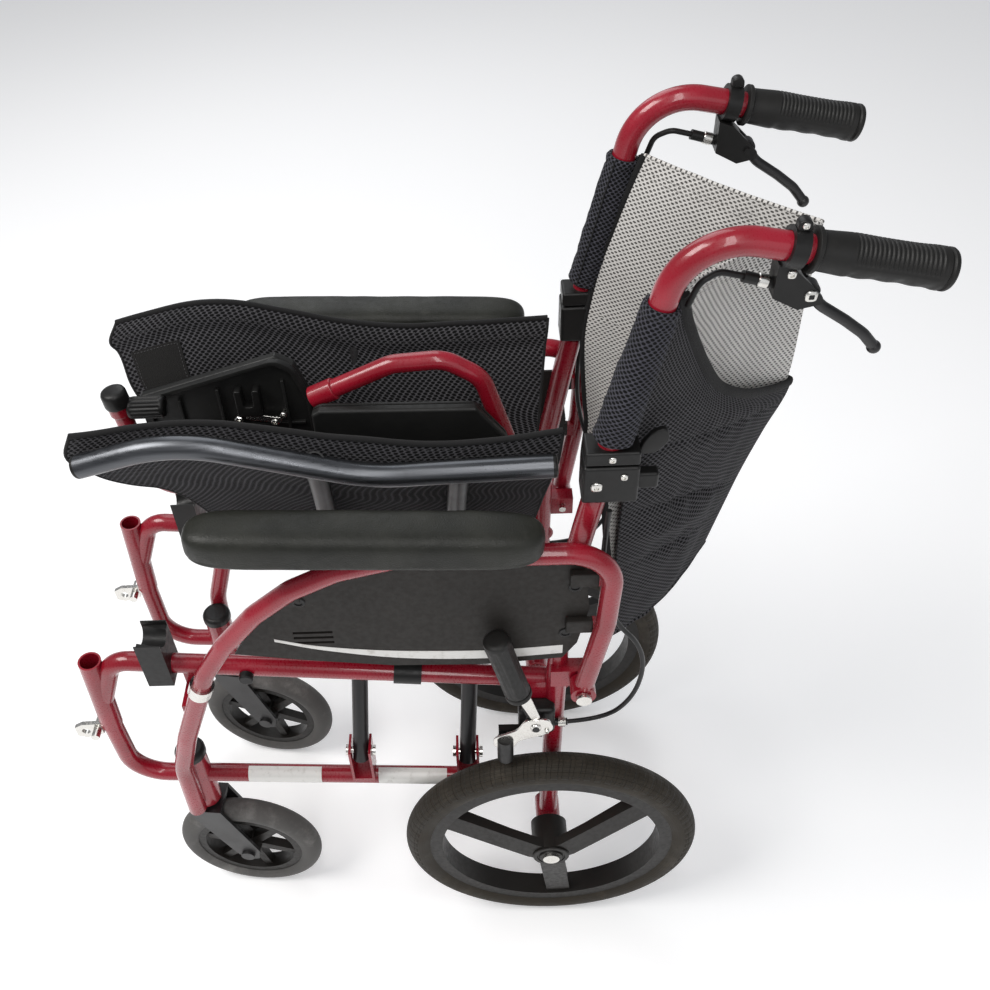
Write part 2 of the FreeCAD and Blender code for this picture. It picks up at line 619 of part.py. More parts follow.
def brace_bolts():
    bolts = []
    for a, b in zip(BRACE_A_Y, BRACE_B_Y):
        middle = (pivot_at(0, a, RAIL_HEIGHT / 2) + pivot_at(0, b, RAIL_HEIGHT / 2)) * 0.5
        bolts.append(bar("pivot_radius", middle - FOLD_AXIS * 23, middle + FOLD_AXIS * 23))
        bolts.append(bar(7.0, middle - FOLD_AXIS * 25, middle - FOLD_AXIS * 21.2))
        bolts.append(bar(7.0, middle + FOLD_AXIS * 21.2, middle + FOLD_AXIS * 25))
    placed("brace_bolts", bolts)


def footrest(number, line, plate, plate_x, lug_ys):
    """A detached footrest: hanger tube with a capped top and a plate on its lower run."""
    tube = rod("hanger_radius", [V(0, y, z) for y, z in line], 36.0)
    top = V(0, line[0][0], line[0][1])
    down = V(0, line[1][0] - line[0][0], line[1][1] - line[0][1]).normalize()
    cap = rounded(bar(11.0, top - down * 4, top + down * 22), 1.5)
    placed("footrest_tube_%d" % number, union([tube, cap]))
    lower_z = line[-1][1]
    board = side_plate(plate, plate_x - 5.0, 10.0)
    board = rounded(board, 3.0)
    lugs = []
    for y in lug_ys:
        lugs.append(bar(13.0, V(0, y, lower_z), V(0, y + 22, lower_z)))
        lugs.append(block(V(0, y, lower_z - 7), V(plate_x, y + 22, lower_z + 7)))
    bore = bar("hanger_hole", V(0, -480, lower_z), V(0, 60, lower_z))
    placed("footplate_%d" % number, union([board, minus(union(lugs), [bore])]))


for side, name, brace_ys, yaw in ((1, "left", BRACE_A_Y, -5.0), (-1, "right", BRACE_B_Y, -9.0)):
    side_frame(side, name, brace_ys)
    frame_fittings(side, name, brace_ys)
    seat_saddles(side, name)
    rear_wheel(side, name)
    caster(side, name, yaw)
    armrest(side, name)
    arm_latch(side, name)
    parking_brake(side, name)
    brake_cable(side, name)
    back_hinge(side, name)
    cane(side, name)
    brake_lever(side, name)
    back_cloth(side, name)
    seat_rail(side, name)
    seat_cloth(side, name)

brace("brace_a", 1, BRACE_A_Y)
brace("brace_b", -1, BRACE_B_Y)
brace_bolts()
footrest(
    1, [(-420, 781), (-410, 657), (-236, 657)],
    [(-398, 650), (-402, 766), (-262, 808), (-245, 798), (-232, 757), (-232, 650)],
    -19.5, (-372, -270),
)
footrest(
    2, [(-226, 770), (-150, 805), (-100, 808), (-66, 785), (-28, 657), (-222, 657)],
    [(-228, 650), (-228, 768), (-220, 773), (-72, 769), (-42, 728), (-42, 650)],
    22.0, (-206, -106),
)

doc.recompute()
os.makedirs("parts", exist_ok=True)
for obj in doc.Objects:
    if "Invalid" in obj.State or "Error" in obj.State:
        raise RuntimeError("feature failed: " + obj.Name + " " + obj.Label + " " + str(obj.State))
for obj in FINISHED:
    shape = obj.Shape
    if shape.isNull() or not shape.isValid() or not shape.Solids:
        raise RuntimeError("bad shape: " + obj.Label)
    shape.exportStep("parts/" + obj.Label + ".step")
print("parts written:", len(FINISHED))
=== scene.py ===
import math
import bmesh
import bpy
from mathutils import Matrix, Vector, noise


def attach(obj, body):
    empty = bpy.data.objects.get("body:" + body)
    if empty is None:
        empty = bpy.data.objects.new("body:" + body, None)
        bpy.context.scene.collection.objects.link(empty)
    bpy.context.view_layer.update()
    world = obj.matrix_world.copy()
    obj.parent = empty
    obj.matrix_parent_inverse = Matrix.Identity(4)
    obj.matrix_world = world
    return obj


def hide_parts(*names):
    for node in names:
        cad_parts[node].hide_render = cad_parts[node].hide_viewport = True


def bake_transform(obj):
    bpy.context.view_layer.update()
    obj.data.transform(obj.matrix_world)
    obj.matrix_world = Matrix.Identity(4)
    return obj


# Looks for the folded transport wheelchair. Route and outline numbers below are in millimetres with
# Y counted from the rear axle; P() turns them into metres in the model's own frame.

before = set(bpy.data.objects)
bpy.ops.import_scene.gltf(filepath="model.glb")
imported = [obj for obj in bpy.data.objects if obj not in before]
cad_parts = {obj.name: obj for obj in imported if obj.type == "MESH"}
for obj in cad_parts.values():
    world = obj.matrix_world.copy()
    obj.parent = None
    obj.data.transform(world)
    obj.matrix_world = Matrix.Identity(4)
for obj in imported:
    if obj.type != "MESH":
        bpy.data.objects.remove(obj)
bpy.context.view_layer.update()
scene = bpy.context.scene
SETBACK = 139  # from the model's own origin back to the rear axle
SIDES = ((1, "left"), (-1, "right"))


def P(x, y, z):
    return Vector((x, y + SETBACK, z)) * 0.001


def lerp(a, b, t):
    return a + (b - a) * t


def smooth(t):
    t = min(max(t, 0), 1)
    return t * t * (3 - 2 * t)


def table_at(pairs, t):
    """Smooth lookup: pairs of (key, value) with rising keys, joined by a cubic through the values."""
    if t <= pairs[0][0]:
        return pairs[0][1]
    if t >= pairs[-1][0]:
        return pairs[-1][1]
    i = next(n for n in range(len(pairs) - 1) if t <= pairs[n + 1][0])
    k0, v0 = pairs[i]
    k1, v1 = pairs[i + 1]
    before = pairs[i - 1] if i else (2 * k0 - k1, 2 * v0 - v1)
    after = pairs[i + 2] if i + 2 < len(pairs) else (2 * k1 - k0, 2 * v1 - v0)
    m0 = (v1 - before[1]) / (k1 - before[0]) * (k1 - k0)
    m1 = (after[1] - v0) / (after[0] - k0) * (k1 - k0)
    s = (t - k0) / (k1 - k0)
    return (
        v0 * (2 * s**3 - 3 * s**2 + 1) + m0 * (s**3 - 2 * s**2 + s)
        + v1 * (3 * s**2 - 2 * s**3) + m1 * (s**3 - s**2)
    )


def placed(name, data):
    """A new object in the scene."""
    obj = bpy.data.objects.new(name, data)
    scene.collection.objects.link(obj)
    return obj


# ---------------------------------------------------------------- camera and light

camera_data = bpy.data.cameras.new("camera")
camera = placed("camera", camera_data)
right = Vector((-0.0127, 0.9980, -0.0620)).normalized()
back = Vector((0.7100, 0.0527, 0.7022)).normalized()
up = back.cross(right).normalized()
right = up.cross(back).normalized()
turned = Matrix((right, up, back)).transposed().to_4x4()
camera.matrix_world = Matrix.Translation((0.775671, 0.068009, 1.40019)) @ turned
camera_data.sensor_width = 36
camera_data.lens = 37.877
camera_data.shift_x = 0.0704
camera_data.shift_y = -0.0012
scene.camera = camera

scene.world = bpy.data.worlds.new("studio")
scene.world.use_nodes = True
sky = scene.world.node_tree.nodes["Background"].inputs
sky["Color"].default_value = (0.93, 0.95, 1, 1)
sky["Strength"].default_value = 0.30


def area_light(name, at, aim, size, power, tint):
    data = bpy.data.lights.new(name, "AREA")
    data.shape = "RECTANGLE"
    data.size, data.size_y = size
    data.energy = power
    data.color = tint
    lamp = placed(name, data)
    lamp.location = at
    lamp.rotation_euler = (Vector(aim) - Vector(at)).to_track_quat("-Z", "Y").to_euler()


area_light("key", (0.5, -1.7, 3.1), (0, 0, 0.4), (1.7, 1.2), 66, (1, 0.985, 0.96))
area_light("strip", (1.5, 0.2, 2.5), (0, 0, 0.5), (0.35, 2.4), 20, (1, 0.99, 0.98))
area_light("fill", (1.9, 1.3, 1.4), (0, 0.1, 0.5), (1.6, 1.6), 5, (0.95, 0.97, 1))
area_light("rear", (-2, -0.4, 2.4), (0, 0, 0.5), (1.4, 2.2), 17, (0.96, 0.98, 1))
scene.view_settings.view_transform = "Standard"

# ---------------------------------------------------------------- materials


class Look:
    """One Principled material and the few node helpers its patterns need."""

    def __init__(self, name, **values):
        self.material = bpy.data.materials.new(name)
        self.material.use_nodes = True
        self.tree = self.material.node_tree
        self.shader = self.tree.nodes["Principled BSDF"]
        self.last_bump = None
        for key, value in values.items():
            self.shader.inputs[key.replace("_", " ")].default_value = value
        self.object = self.tree.nodes.new("ShaderNodeTexCoord").outputs["Object"]
        self.uv = self.object.node.outputs["UV"]

    def node(self, kind, links=(), **settings):
        made = self.tree.nodes.new("ShaderNode" + kind)
        for key, value in settings.items():
            setattr(made, key, value)
        for key, value in dict(links).items():
            if isinstance(value, bpy.types.NodeSocket):
                self.tree.links.new(value, made.inputs[key])
            else:
                made.inputs[key].default_value = value
        return made

    def noise(self, scale, detail=3, rough=0.55, stretch=None, coord=None):
        coord = coord or self.object
        if stretch:
            coord = self.node("Mapping", {"Vector": coord, "Scale": stretch}).outputs[0]
        links = {"Vector": coord, "Scale": scale, "Detail": detail, "Roughness": rough}
        return self.node("TexNoise", links).outputs["Fac"]

    def cells(self, scale, feature):
        links = {"Vector": self.object, "Scale": scale}
        return self.node("TexVoronoi", links, feature=feature).outputs["Distance"]

    def waves(self, coord, scale, distortion, direction):
        links = {"Vector": coord, "Scale": scale, "Distortion": distortion}
        return self.node("TexWave", links, bands_direction=direction).outputs["Fac"]

    def span(self, value, low, high, to_low=0, to_high=1):
        links = {"Value": value, "From Min": low, "From Max": high, "To Min": to_low, "To Max": to_high}
        return self.node("MapRange", links, interpolation_type="SMOOTHSTEP").outputs["Result"]

    def maths(self, operation, *values):
        return self.node("Math", enumerate(values), operation=operation).outputs[0]

    def times(self, a, b):
        return self.maths("MULTIPLY", a, b)

    def plus(self, a, b):
        return self.maths("ADD", a, b)

    def vector(self, operation, *values):
        outputs = self.node("VectorMath", enumerate(values), operation=operation).outputs
        return outputs["Value"] if operation == "LENGTH" else outputs[0]

    def tint(self, share, *colours):
        a, b = (c if isinstance(c, bpy.types.NodeSocket) else (*c, 1) for c in colours)
        return self.node("Mix", {0: share, 6: a, 7: b}, data_type="RGBA").outputs[2]

    def colour(self, socket):
        self.tree.links.new(socket, self.shader.inputs["Base Color"])

    def rough(self, value, low, high):
        self.tree.links.new(self.span(value, 0.25, 0.75, low, high), self.shader.inputs["Roughness"])

    def bump(self, height, strength, distance):
        links = {"Height": height, "Strength": strength, "Distance": distance}
        if self.last_bump:
            links["Normal"] = self.last_bump
        self.last_bump = self.node("Bump", links).outputs["Normal"]
        self.tree.links.new(self.last_bump, self.shader.inputs["Normal"])


def surface(name, cloud, colours, wear=None, rough=None, grain=None, spread=None, **values):
    """A look with clouded colour, worn patches, uneven gloss and a fine grain.

    cloud and the first entry of wear, rough and grain are the settings of their noise. After it wear has
    the noise's low and high, the share of the worn shade and that shade; rough and grain have their range
    and their strength and depth. spread sharpens the clouds.
    """
    look = Look(name, **values)
    mottle = look.noise(*cloud)
    base = look.tint(look.span(mottle, *spread) if spread else mottle, *colours)
    if wear:
        patches, low, high, share, shade = wear
        base = look.tint(look.times(look.span(look.noise(*patches), low, high), share), base, shade)
    look.colour(base)
    if rough:
        look.rough(look.noise(*rough[0]), *rough[1:])
    if grain:
        look.bump(look.noise(*grain[0]), *grain[1:])
    return look


def moulded(name, low, high, rough=(0.38, 0.55), grain=2200, wear=0.35):
    pale = tuple(c * 4 + 0.02 for c in high)
    return surface(
        name, (26, 4), (low, high), ((110, 7, 0.74), 0.65, 0.73, wear, pale),
        ((180,), *rough), ((grain, 2), 0.16, 0.0003), Specular_IOR_Level=0.28,
    ).material


def tyre_rubber(name, low, high, dust=0.4, radius=0, axle=None):
    """Rubber. An axle gives it circumferential ribs and fine cross sipes worked out from its centre."""
    clouds = (38, 5, 0.62)
    grime = tuple(c * 1.9 + 0.02 for c in high)
    look = surface(
        name, clouds, (low, high), ((18, 7, 0.7), 0.5, 0.72, dust, grime), (clouds, 0.55, 0.75),
        ((1300,), 0.25, 0.0004), Specular_IOR_Level=0.22, Sheen_Weight=0.02, Sheen_Roughness=0.5,
    )
    if axle is None:
        return look.material
    local = look.vector("SUBTRACT", look.object, tuple(axle))
    across, y, z = look.node("SeparateXYZ", {"Vector": local}).outputs
    ring = look.maths("SQRT", look.plus(look.times(y, y), look.times(z, z)))
    outer = look.span(ring, radius - 0.0145, radius - 0.0120)
    slant = look.times(look.maths("ABSOLUTE", across), 90)
    sipe_count = 84
    wave = look.maths("SINE", look.plus(look.times(look.maths("ARCTAN2", y, z), sipe_count), slant))
    ribs = look.maths("SINE", look.times(across, 1400))
    tread = look.plus(look.span(wave, -0.55, -0.15), look.span(ribs, -0.7, -0.3))
    look.bump(look.times(tread, outer), 1, 0.0022)
    side_rings = look.span(look.maths("SINE", look.times(ring, 2300)), 0.2, 0.9)
    look.bump(look.times(side_rings, look.maths("SUBTRACT", 1, outer)), 0.25, 0.0006)
    return look.material


def spacer_mesh(name, yarn_low, yarn_high, hole_shade, pitch, eye, heather=0.5):
    """Knitted spacer fabric from its sheet UVs in metres: two staggered grids of oval eyes, filled with
    painted shade.
    """
    look = Look(name, Specular_IOR_Level=0.15, Sheen_Weight=0.05, Sheen_Roughness=0.5)
    wobble = look.node("TexNoise", {"Vector": look.uv, "Scale": 60, "Detail": 1}).outputs["Color"]
    shift = look.vector("MULTIPLY", look.vector("SUBTRACT", wobble, (0.5, 0.5, 0.5)), (0.0011, 0.0011, 0))
    place = look.vector("ADD", look.uv, shift)
    grid = look.vector("MULTIPLY", place, (1 / pitch[0], 1 / pitch[1], 0))
    reach = []
    for offset in (0, 0.5):
        cell = look.vector("FRACTION", look.vector("ADD", grid, (offset, offset, 0)))
        cell = look.vector("SUBTRACT", cell, (0.5, 0.5, 0))
        cell = look.vector("MULTIPLY", cell, (pitch[0] / eye[0], pitch[1] / eye[1], 0))
        reach.append(look.vector("LENGTH", cell))
    solid = look.span(look.maths("MINIMUM", *reach), 0.72, 1.28)
    fibre = look.noise(2600, 2, 0.5, coord=look.uv)
    fuzz = look.plus(look.waves(place, 520, 1.5, "DIAGONAL"), fibre)
    yarn = look.tint(look.times(fuzz, heather), yarn_low, yarn_high)
    cloud = look.noise(22, 4, 0.5, coord=look.uv)
    yarn = look.tint(look.span(cloud, 0.35, 0.7, 0, 0.35), yarn, yarn_low)
    # the eyes take the hole colour: painted shade where one looks into the knit
    look.colour(look.tint(solid, hole_shade, yarn))
    look.rough(fibre, 0.75, 0.95)
    look.bump(solid, 1, 0.0011)
    look.bump(fuzz, 0.30, 0.0004)
    return look.material


def leather_grain():
    look = surface(
        "arm_pad_skin", (20, 5), ((0.012, 0.0125, 0.0100), (0.022, 0.0225, 0.0180)),
        ((70, 6, 0.65, (1, 0.35, 1)), 0.6, 0.75, 0.4, (0.050, 0.050, 0.043)),
        ((160, 4), 0.36, 0.52), spread=(0.3, 0.7), Specular_IOR_Level=0.27,
    )
    look.bump(look.cells(420, "DISTANCE_TO_EDGE"), 0.45, 0.0006)
    look.bump(look.noise(900, 4), 0.25, 0.0004)
    return look.material


def webbing(name, low, high):
    look = Look(name, Specular_IOR_Level=0.2, Sheen_Weight=0.05, Sheen_Roughness=0.5)
    weave = look.times(look.waves(look.uv, 350, 0.6, "X"), look.waves(look.uv, 350, 0.6, "Y"))
    fluff = look.noise(900, 4)
    look.colour(look.tint(look.plus(look.times(weave, 0.6), look.times(fluff, 0.4)), low, high))
    look.rough(fluff, 0.7, 0.92)
    look.bump(weave, 0.6, 0.0005)
    look.bump(fluff, 0.3, 0.0004)
    return look.material


def hook_tape():
    fluff = (1500, 4, 0.7)
    look = surface(
        "hook_and_loop_tape", fluff, ((0.004, 0.004, 0.004), (0.020, 0.019, 0.018)), rough=(fluff, 0.8, 0.97),
        Specular_IOR_Level=0.15, Sheen_Weight=0.06, Sheen_Roughness=0.6,
    )
    look.bump(look.cells(900, "F1"), 0.7, 0.0009)
    return look.material


def thread(name, low, high):
    twist = (2500, 2)
    grain = (twist, 0.4, 0.0003)
    return surface(name, twist, (low, high), grain=grain, Roughness=0.7, Sheen_Weight=0.2).material


RED = surface(
    "red_enamel", (14,), ((0.225, 0.0045, 0.013), (0.310, 0.0075, 0.022)),
    ((60, 6, 0.7), 0.68, 0.75, 0.35, (0.18, 0.014, 0.018)), ((420, 2), 0.24, 0.36),
    ((900, 1), 0.05, 0.0004), spread=(0.3, 0.7),
    Metallic=0, Coat_Weight=0.5, Coat_Roughness=0.06, Specular_IOR_Level=0.4,
).material
BLACK_COAT = surface(
    "black_powder_coat", (30, 4), ((0.007, 0.007, 0.008), (0.016, 0.015, 0.015)),
    ((90, 8, 0.75, (1, 1, 0.25)), 0.66, 0.74, 0.5, (0.10, 0.095, 0.09)), ((30, 4), 0.30, 0.46),
    ((1500, 2), 0.12, 0.0003), Metallic=0, Specular_IOR_Level=0.5,
).material
STEEL = surface(
    "bright_zinc_steel", (55, 4), ((0.62, 0.60, 0.56), (0.80, 0.79, 0.76)),
    ((240, 5, 0.7), 0.62, 0.72, 0.6, (0.30, 0.26, 0.20)), ((380,), 0.14, 0.34),
    ((700,), 0.08, 0.0003), Metallic=1,
).material
DRAW_LINES = (300, 3, 0.6, (1, 0.03, 1))
RAIL_GREY = surface(
    "grey_anodised_rail", DRAW_LINES, ((0.070, 0.073, 0.080), (0.135, 0.140, 0.150)),
    ((46, 7, 0.72), 0.64, 0.72, 0.5, (0.30, 0.30, 0.30)), (DRAW_LINES, 0.24, 0.38),
    (DRAW_LINES, 0.08, 0.0003), Metallic=0.9,
).material
STAINS = (90, 6, 0.65)
LABEL = surface(
    "blank_label_film", STAINS, ((0.72, 0.71, 0.68), (0.52, 0.50, 0.46)), None, (STAINS, 0.28, 0.42),
    ((260,), 0.1, 0.0003), spread=(0.5, 0.78),
    Specular_IOR_Level=0.5, Coat_Weight=0.3, Coat_Roughness=0.25,
).material
FLOOR_PAINT = surface(
    "studio_floor", (1.4,), ((0.93, 0.93, 0.935), (0.945, 0.945, 0.945)), None, ((40,), 0.7, 0.85),
    ((500, 2), 0.03, 0.0004), Specular_IOR_Level=0.2,
    Emission_Color=(1, 1, 1, 1), Emission_Strength=0.23,
).material
PLASTIC = moulded(
    "black_moulded_plastic", (0.006, 0.006, 0.006), (0.014, 0.0135, 0.013), (0.30, 0.48), wear=0.2
)
RIM_PLASTIC = moulded("rim_plastic", (0.007, 0.006, 0.005), (0.015, 0.013, 0.011), (0.36, 0.52), wear=0.25)
PANEL = moulded(
    "side_panel_plastic", (0.013, 0.011, 0.0095), (0.024, 0.021, 0.018), (0.50, 0.66), 1500, 0.12
)
PLATE = moulded("footplate_plastic", (0.008, 0.008, 0.008), (0.017, 0.017, 0.016), (0.38, 0.56), 1100, 0.2)
GRIP = moulded("grip_rubber", (0.008, 0.008, 0.0075), (0.017, 0.016, 0.015), (0.40, 0.56), 1700, 0.1)
CABLE = moulded("cable_sheath", (0.008, 0.008, 0.008), (0.018, 0.018, 0.018), (0.26, 0.40), 1800, 0.15)
LEATHER = leather_grain()
# the third colour of each spacer mesh is painted shade for the inside of its eyes
DARK_MESH = spacer_mesh(
    "dark_spacer_mesh", (0.036, 0.035, 0.039), (0.125, 0.121, 0.130), (0.002, 0.002, 0.0024),
    (0.0064, 0.0056), (0.0021, 0.0014),
)
SLEEVE_MESH = spacer_mesh(
    "sleeve_spacer_mesh", (0.030, 0.030, 0.038), (0.100, 0.100, 0.122), (0.002, 0.002, 0.003),
    (0.0058, 0.0052), (0.0018, 0.00130),
)
LIGHT_MESH = spacer_mesh(
    "light_spacer_mesh", (0.56, 0.545, 0.52), (0.82, 0.80, 0.77), (0.10, 0.095, 0.09),
    (0.0060, 0.0052), (0.00150, 0.00085), 0.42,
)
BINDING = webbing("black_binding_tape", (0.006, 0.006, 0.006), (0.026, 0.025, 0.026))
TAPE = hook_tape()
THREAD = thread("sewing_thread", (0.012, 0.012, 0.013), (0.055, 0.054, 0.056))
PALE_THREAD = thread("pale_thread", (0.16, 0.155, 0.15), (0.36, 0.35, 0.33))

floor_mesh = bpy.data.meshes.new("floor")
build = bmesh.new()
bmesh.ops.create_grid(build, x_segments=8, y_segments=8, size=9)
build.to_mesh(floor_mesh)
build.free()
floor_mesh.materials.append(FLOOR_PAINT)
floor = placed("floor", floor_mesh)
floor.location.z = -0.0006

# ---------------------------------------------------------------- mesh helpers


def add(name, verts, faces, material, uvs=None, crease=None):
    """One smooth mesh piece from vertices in metres, with one UV per vertex where it has any."""
    mesh = bpy.data.meshes.new(name)
    mesh.from_pydata([tuple(v) for v in verts], [], faces)
    mesh.materials.append(material)
    if uvs:
        layer = mesh.uv_layers.new(name="UVMap")
        for loop in mesh.loops:
            layer.data[loop.index].uv = uvs[loop.vertex_index]
    mesh.polygons.foreach_set("use_smooth", [True] * len(mesh.polygons))
    mesh.update()
    if crease:
        mesh.set_sharp_from_angle(angle=math.radians(crease))
    return placed(name, mesh)


def settle(obj, kind, **settings):
    """Adds a modifier and makes the result the object's own mesh."""
    made = obj.modifiers.new(kind.lower(), kind)
    for key, value in settings.items():
        setattr(made, key, value)
    graph = bpy.context.evaluated_depsgraph_get()
    mesh = bpy.data.meshes.new_from_object(obj.evaluated_get(graph), depsgraph=graph)
    obj.modifiers.clear()
    obj.data = mesh


def joined(name, parts):
    """Several pieces of one material made into a single mesh."""
    verts, faces = [], []
    for obj in parts:
        base = len(verts)
        verts += [v.co.copy() for v in obj.data.vertices]
        faces += [[base + i for i in f.vertices] for f in obj.data.polygons]
    material = parts[0].data.materials[0]
    for obj in parts:
        bpy.data.objects.remove(obj)
    return add(name, verts, faces, material, crease=40)


def tube_faces(rows, count, start=0):
    """The skin of rows of count vertices, each row a closed ring, with both ends closed."""
    faces = []
    for i in range(rows - 1):
        for k in range(count):
            a = start + i * count + k
            b = start + i * count + (k + 1) % count
            faces.append((a, b, b + count, a + count))
    last = start + (rows - 1) * count
    faces.append(tuple(start + k for k in reversed(range(count))))
    faces.append(tuple(last + k for k in range(count)))
    return faces


def reach_of(points):
    """The length along a line up to each of its points."""
    reach = [0]
    for p, q in zip(points, points[1:]):
        reach.append(reach[-1] + (q - p).length)
    return reach


def place_on(reach, want):
    """The step of a line that holds the length want, and how far along that step it is."""
    j = 0
    while j < len(reach) - 2 and reach[j + 1] < want:
        j += 1
    step = reach[j + 1] - reach[j]
    return j, 0 if step < 1e-9 else (want - reach[j]) / step


def run_of(points, count):
    """count + 1 points along a smooth curve through the given ones, evenly spread by length."""
    pts = [Vector(p) for p in points]
    fine = []
    for i in range(len(pts) - 1):
        a = pts[i - 1] if i else pts[0] * 2 - pts[1]
        b, c = pts[i], pts[i + 1]
        d = pts[i + 2] if i + 2 < len(pts) else pts[-1] * 2 - pts[-2]
        for k in range(24):
            t = k / 24
            bend = (2 * a - 5 * b + 4 * c - d) * t * t + (3 * b - a - 3 * c + d) * t**3
            fine.append(0.5 * (2 * b + (c - a) * t + bend))
    fine.append(pts[-1])
    reach = reach_of(fine)
    out = []
    for n in range(count + 1):
        j, t = place_on(reach, reach[-1] * n / count)
        out.append(fine[j].lerp(fine[j + 1], t))
    return out


def oval(a, b, sides):
    turns = [2 * math.pi * k / sides for k in range(sides)]
    return [(a * math.cos(turn), b * math.sin(turn)) for turn in turns]


def sweep(name, points, ring, material, hint=None):
    """A closed ring of (across, raised) offsets carried along points in millimetres."""
    count = len(points)
    lengths = reach_of(points)
    around = reach_of([Vector(p) for p in ring])
    normal = None
    verts, uvs = [], []
    for i, point in enumerate(points):
        tangent = (points[min(i + 1, count - 1)] - points[max(i - 1, 0)]).normalized()
        if hint or normal is None:
            normal = Vector(hint) if hint else tangent.orthogonal()
        normal = (normal - tangent * normal.dot(tangent)).normalized()
        across = tangent.cross(normal)
        for k, (a, b) in enumerate(ring):
            verts.append(P(*(point + across * a + normal * b)))
            uvs.append((around[k] * 0.001, lengths[i] * 0.001))
    return add(name, verts, tube_faces(count, len(ring)), material, uvs, 50)


def lathe(name, at, direction, profile, material, turns=40, wave=None):
    """A turned piece: profile pairs are (distance along the axis, radius) in millimetres."""
    at, axis = Vector(at), Vector(direction).normalized()
    side = axis.orthogonal().normalized()
    other = axis.cross(side)
    verts, uvs = [], []
    for along, radius in profile:
        for k in range(turns):
            angle = 2 * math.pi * k / turns
            r = radius + (wave(along, angle) if wave else 0)
            spoke = side * math.cos(angle) * r + other * math.sin(angle) * r
            verts.append(P(*(at + axis * along + spoke)))
            uvs.append((angle * radius * 0.001, along * 0.001))
    return add(name, verts, tube_faces(len(profile), turns), material, uvs, 38)


def flutes(depth, count, low, high):
    """A wave for lathe: flutes around the piece between two distances along it."""
    return lambda along, angle: depth * math.cos(count * angle) if low < along < high else 0


def screw(name, at, direction, radius, height):
    """A low domed steel head with a recessed cross socket."""
    steps = [(0, radius), (height * 0.45, radius), (height * 0.8, radius * 0.86), (height, radius * 0.62)]
    steps += [(height, radius * 0.46), (height * 0.35, radius * 0.40), (height * 0.35, radius * 0.02)]
    return lathe(name, at, direction, steps, STEEL, 32, flutes(radius * 0.06, 4, height * 0.3, height * 1.01))


def rounded_outline(points, radius):
    """A polygon in the Y-Z plane with each corner rounded."""
    out, n, steps = [], len(points), 5
    for i in range(n):
        p = Vector(points[i])
        a = Vector(points[i - 1]) - p
        b = Vector(points[(i + 1) % n]) - p
        cut = min(radius, a.length * 0.45, b.length * 0.45)
        start, stop = p + a.normalized() * cut, p + b.normalized() * cut
        for k in range(steps + 1):
            t = k / steps
            q = start * (1 - t) ** 2 + p * 2 * t * (1 - t) + stop * t**2
            out.append((q.x, q.y))
    return out


def plate(name, points, radius, low, high, material, bevel):
    """A Y-Z outline, its corners rounded by radius, made solid between two X values with broken edges."""
    outline = rounded_outline(points, radius) if radius else points
    verts = [P(x, y, z) for x in (low, high) for y, z in outline]
    n = len(outline)
    area = sum(a * d - c * b for (a, b), (c, d) in zip(outline, outline[1:] + outline[:1]))
    order = list(range(n)) if (area > 0) == (high > low) else list(range(n))[::-1]
    faces = [order[::-1], [n + i for i in order]]
    for a, b in zip(order, order[1:] + order[:1]):
        faces.append([a, b, n + b, n + a])
    obj = add(name, verts, faces, material)
    obj.data.polygons.foreach_set("use_smooth", [False] * len(faces))
    settle(obj, "BEVEL", width=bevel * 0.001, segments=3, limit_method="ANGLE", angle_limit=0.6)
    obj.data.polygons.foreach_set("use_smooth", [True] * len(obj.data.polygons))
    obj.data.set_sharp_from_angle(angle=math.radians(32))
    return obj


def cloth(name, fn, steps, material, thickness, box=((0, 1), (0, 1))):
    """A sheet with real thickness over fn(u, v) in millimetres. Gives the piece, its flat size and area."""
    nu, nv = steps
    (u0, u1), (v0, v1) = box
    rows = [[fn(lerp(u0, u1, i / nu), lerp(v0, v1, j / nv)) for i in range(nu + 1)] for j in range(nv + 1)]
    across = [reach_of(row) for row in rows]
    along = [reach_of(column) for column in zip(*rows)]
    area = 0
    for j in range(1, nv + 1):
        for i in range(1, nu + 1):
            p, q = rows[j][i] - rows[j - 1][i - 1], rows[j - 1][i] - rows[j][i - 1]
            area += 0.5 * p.cross(q).length
    verts, uvs = [], []
    for half in (-0.5, 0.5):
        for j in range(nv + 1):
            for i in range(nu + 1):
                du = rows[j][min(i + 1, nu)] - rows[j][max(i - 1, 0)]
                dv = rows[min(j + 1, nv)][i] - rows[max(j - 1, 0)][i]
                verts.append(P(*(rows[j][i] + du.cross(dv).normalized() * half * thickness)))
                uvs.append((across[j][i] * 0.001, along[i][j] * 0.001))
    size = (nu + 1) * (nv + 1)

    def at(layer, i, j):
        return layer * size + j * (nu + 1) + i

    faces = []
    for j in range(nv):
        for i in range(nu):
            faces.append((at(0, i, j), at(0, i, j + 1), at(0, i + 1, j + 1), at(0, i + 1, j)))
            faces.append((at(1, i, j), at(1, i + 1, j), at(1, i + 1, j + 1), at(1, i, j + 1)))
    for i in range(nu):
        faces.append((at(0, i, 0), at(0, i + 1, 0), at(1, i + 1, 0), at(1, i, 0)))
        faces.append((at(0, i + 1, nv), at(0, i, nv), at(1, i, nv), at(1, i + 1, nv)))
    for j in range(nv):
        faces.append((at(0, 0, j + 1), at(0, 0, j), at(1, 0, j), at(1, 0, j + 1)))
        faces.append((at(0, nu, j), at(0, nu, j + 1), at(1, nu, j + 1), at(1, nu, j)))
    obj = add(name, verts, faces, material, uvs, 55)
    wide = max(row[-1] for row in across) * 0.001
    area *= 1e-6
    tall = min(max(column[-1] for column in along) * 0.001, area / (0.45 * wide))
    return obj, (wide, tall), min(area, wide * tall)


def normal_at(fn, u, v):
    du = fn(min(u + 0.004, 1), v) - fn(max(u - 0.004, 0), v)
    dv = fn(u, min(v + 0.004, 1)) - fn(u, max(v - 0.004, 0))
    return du.cross(dv).normalized()


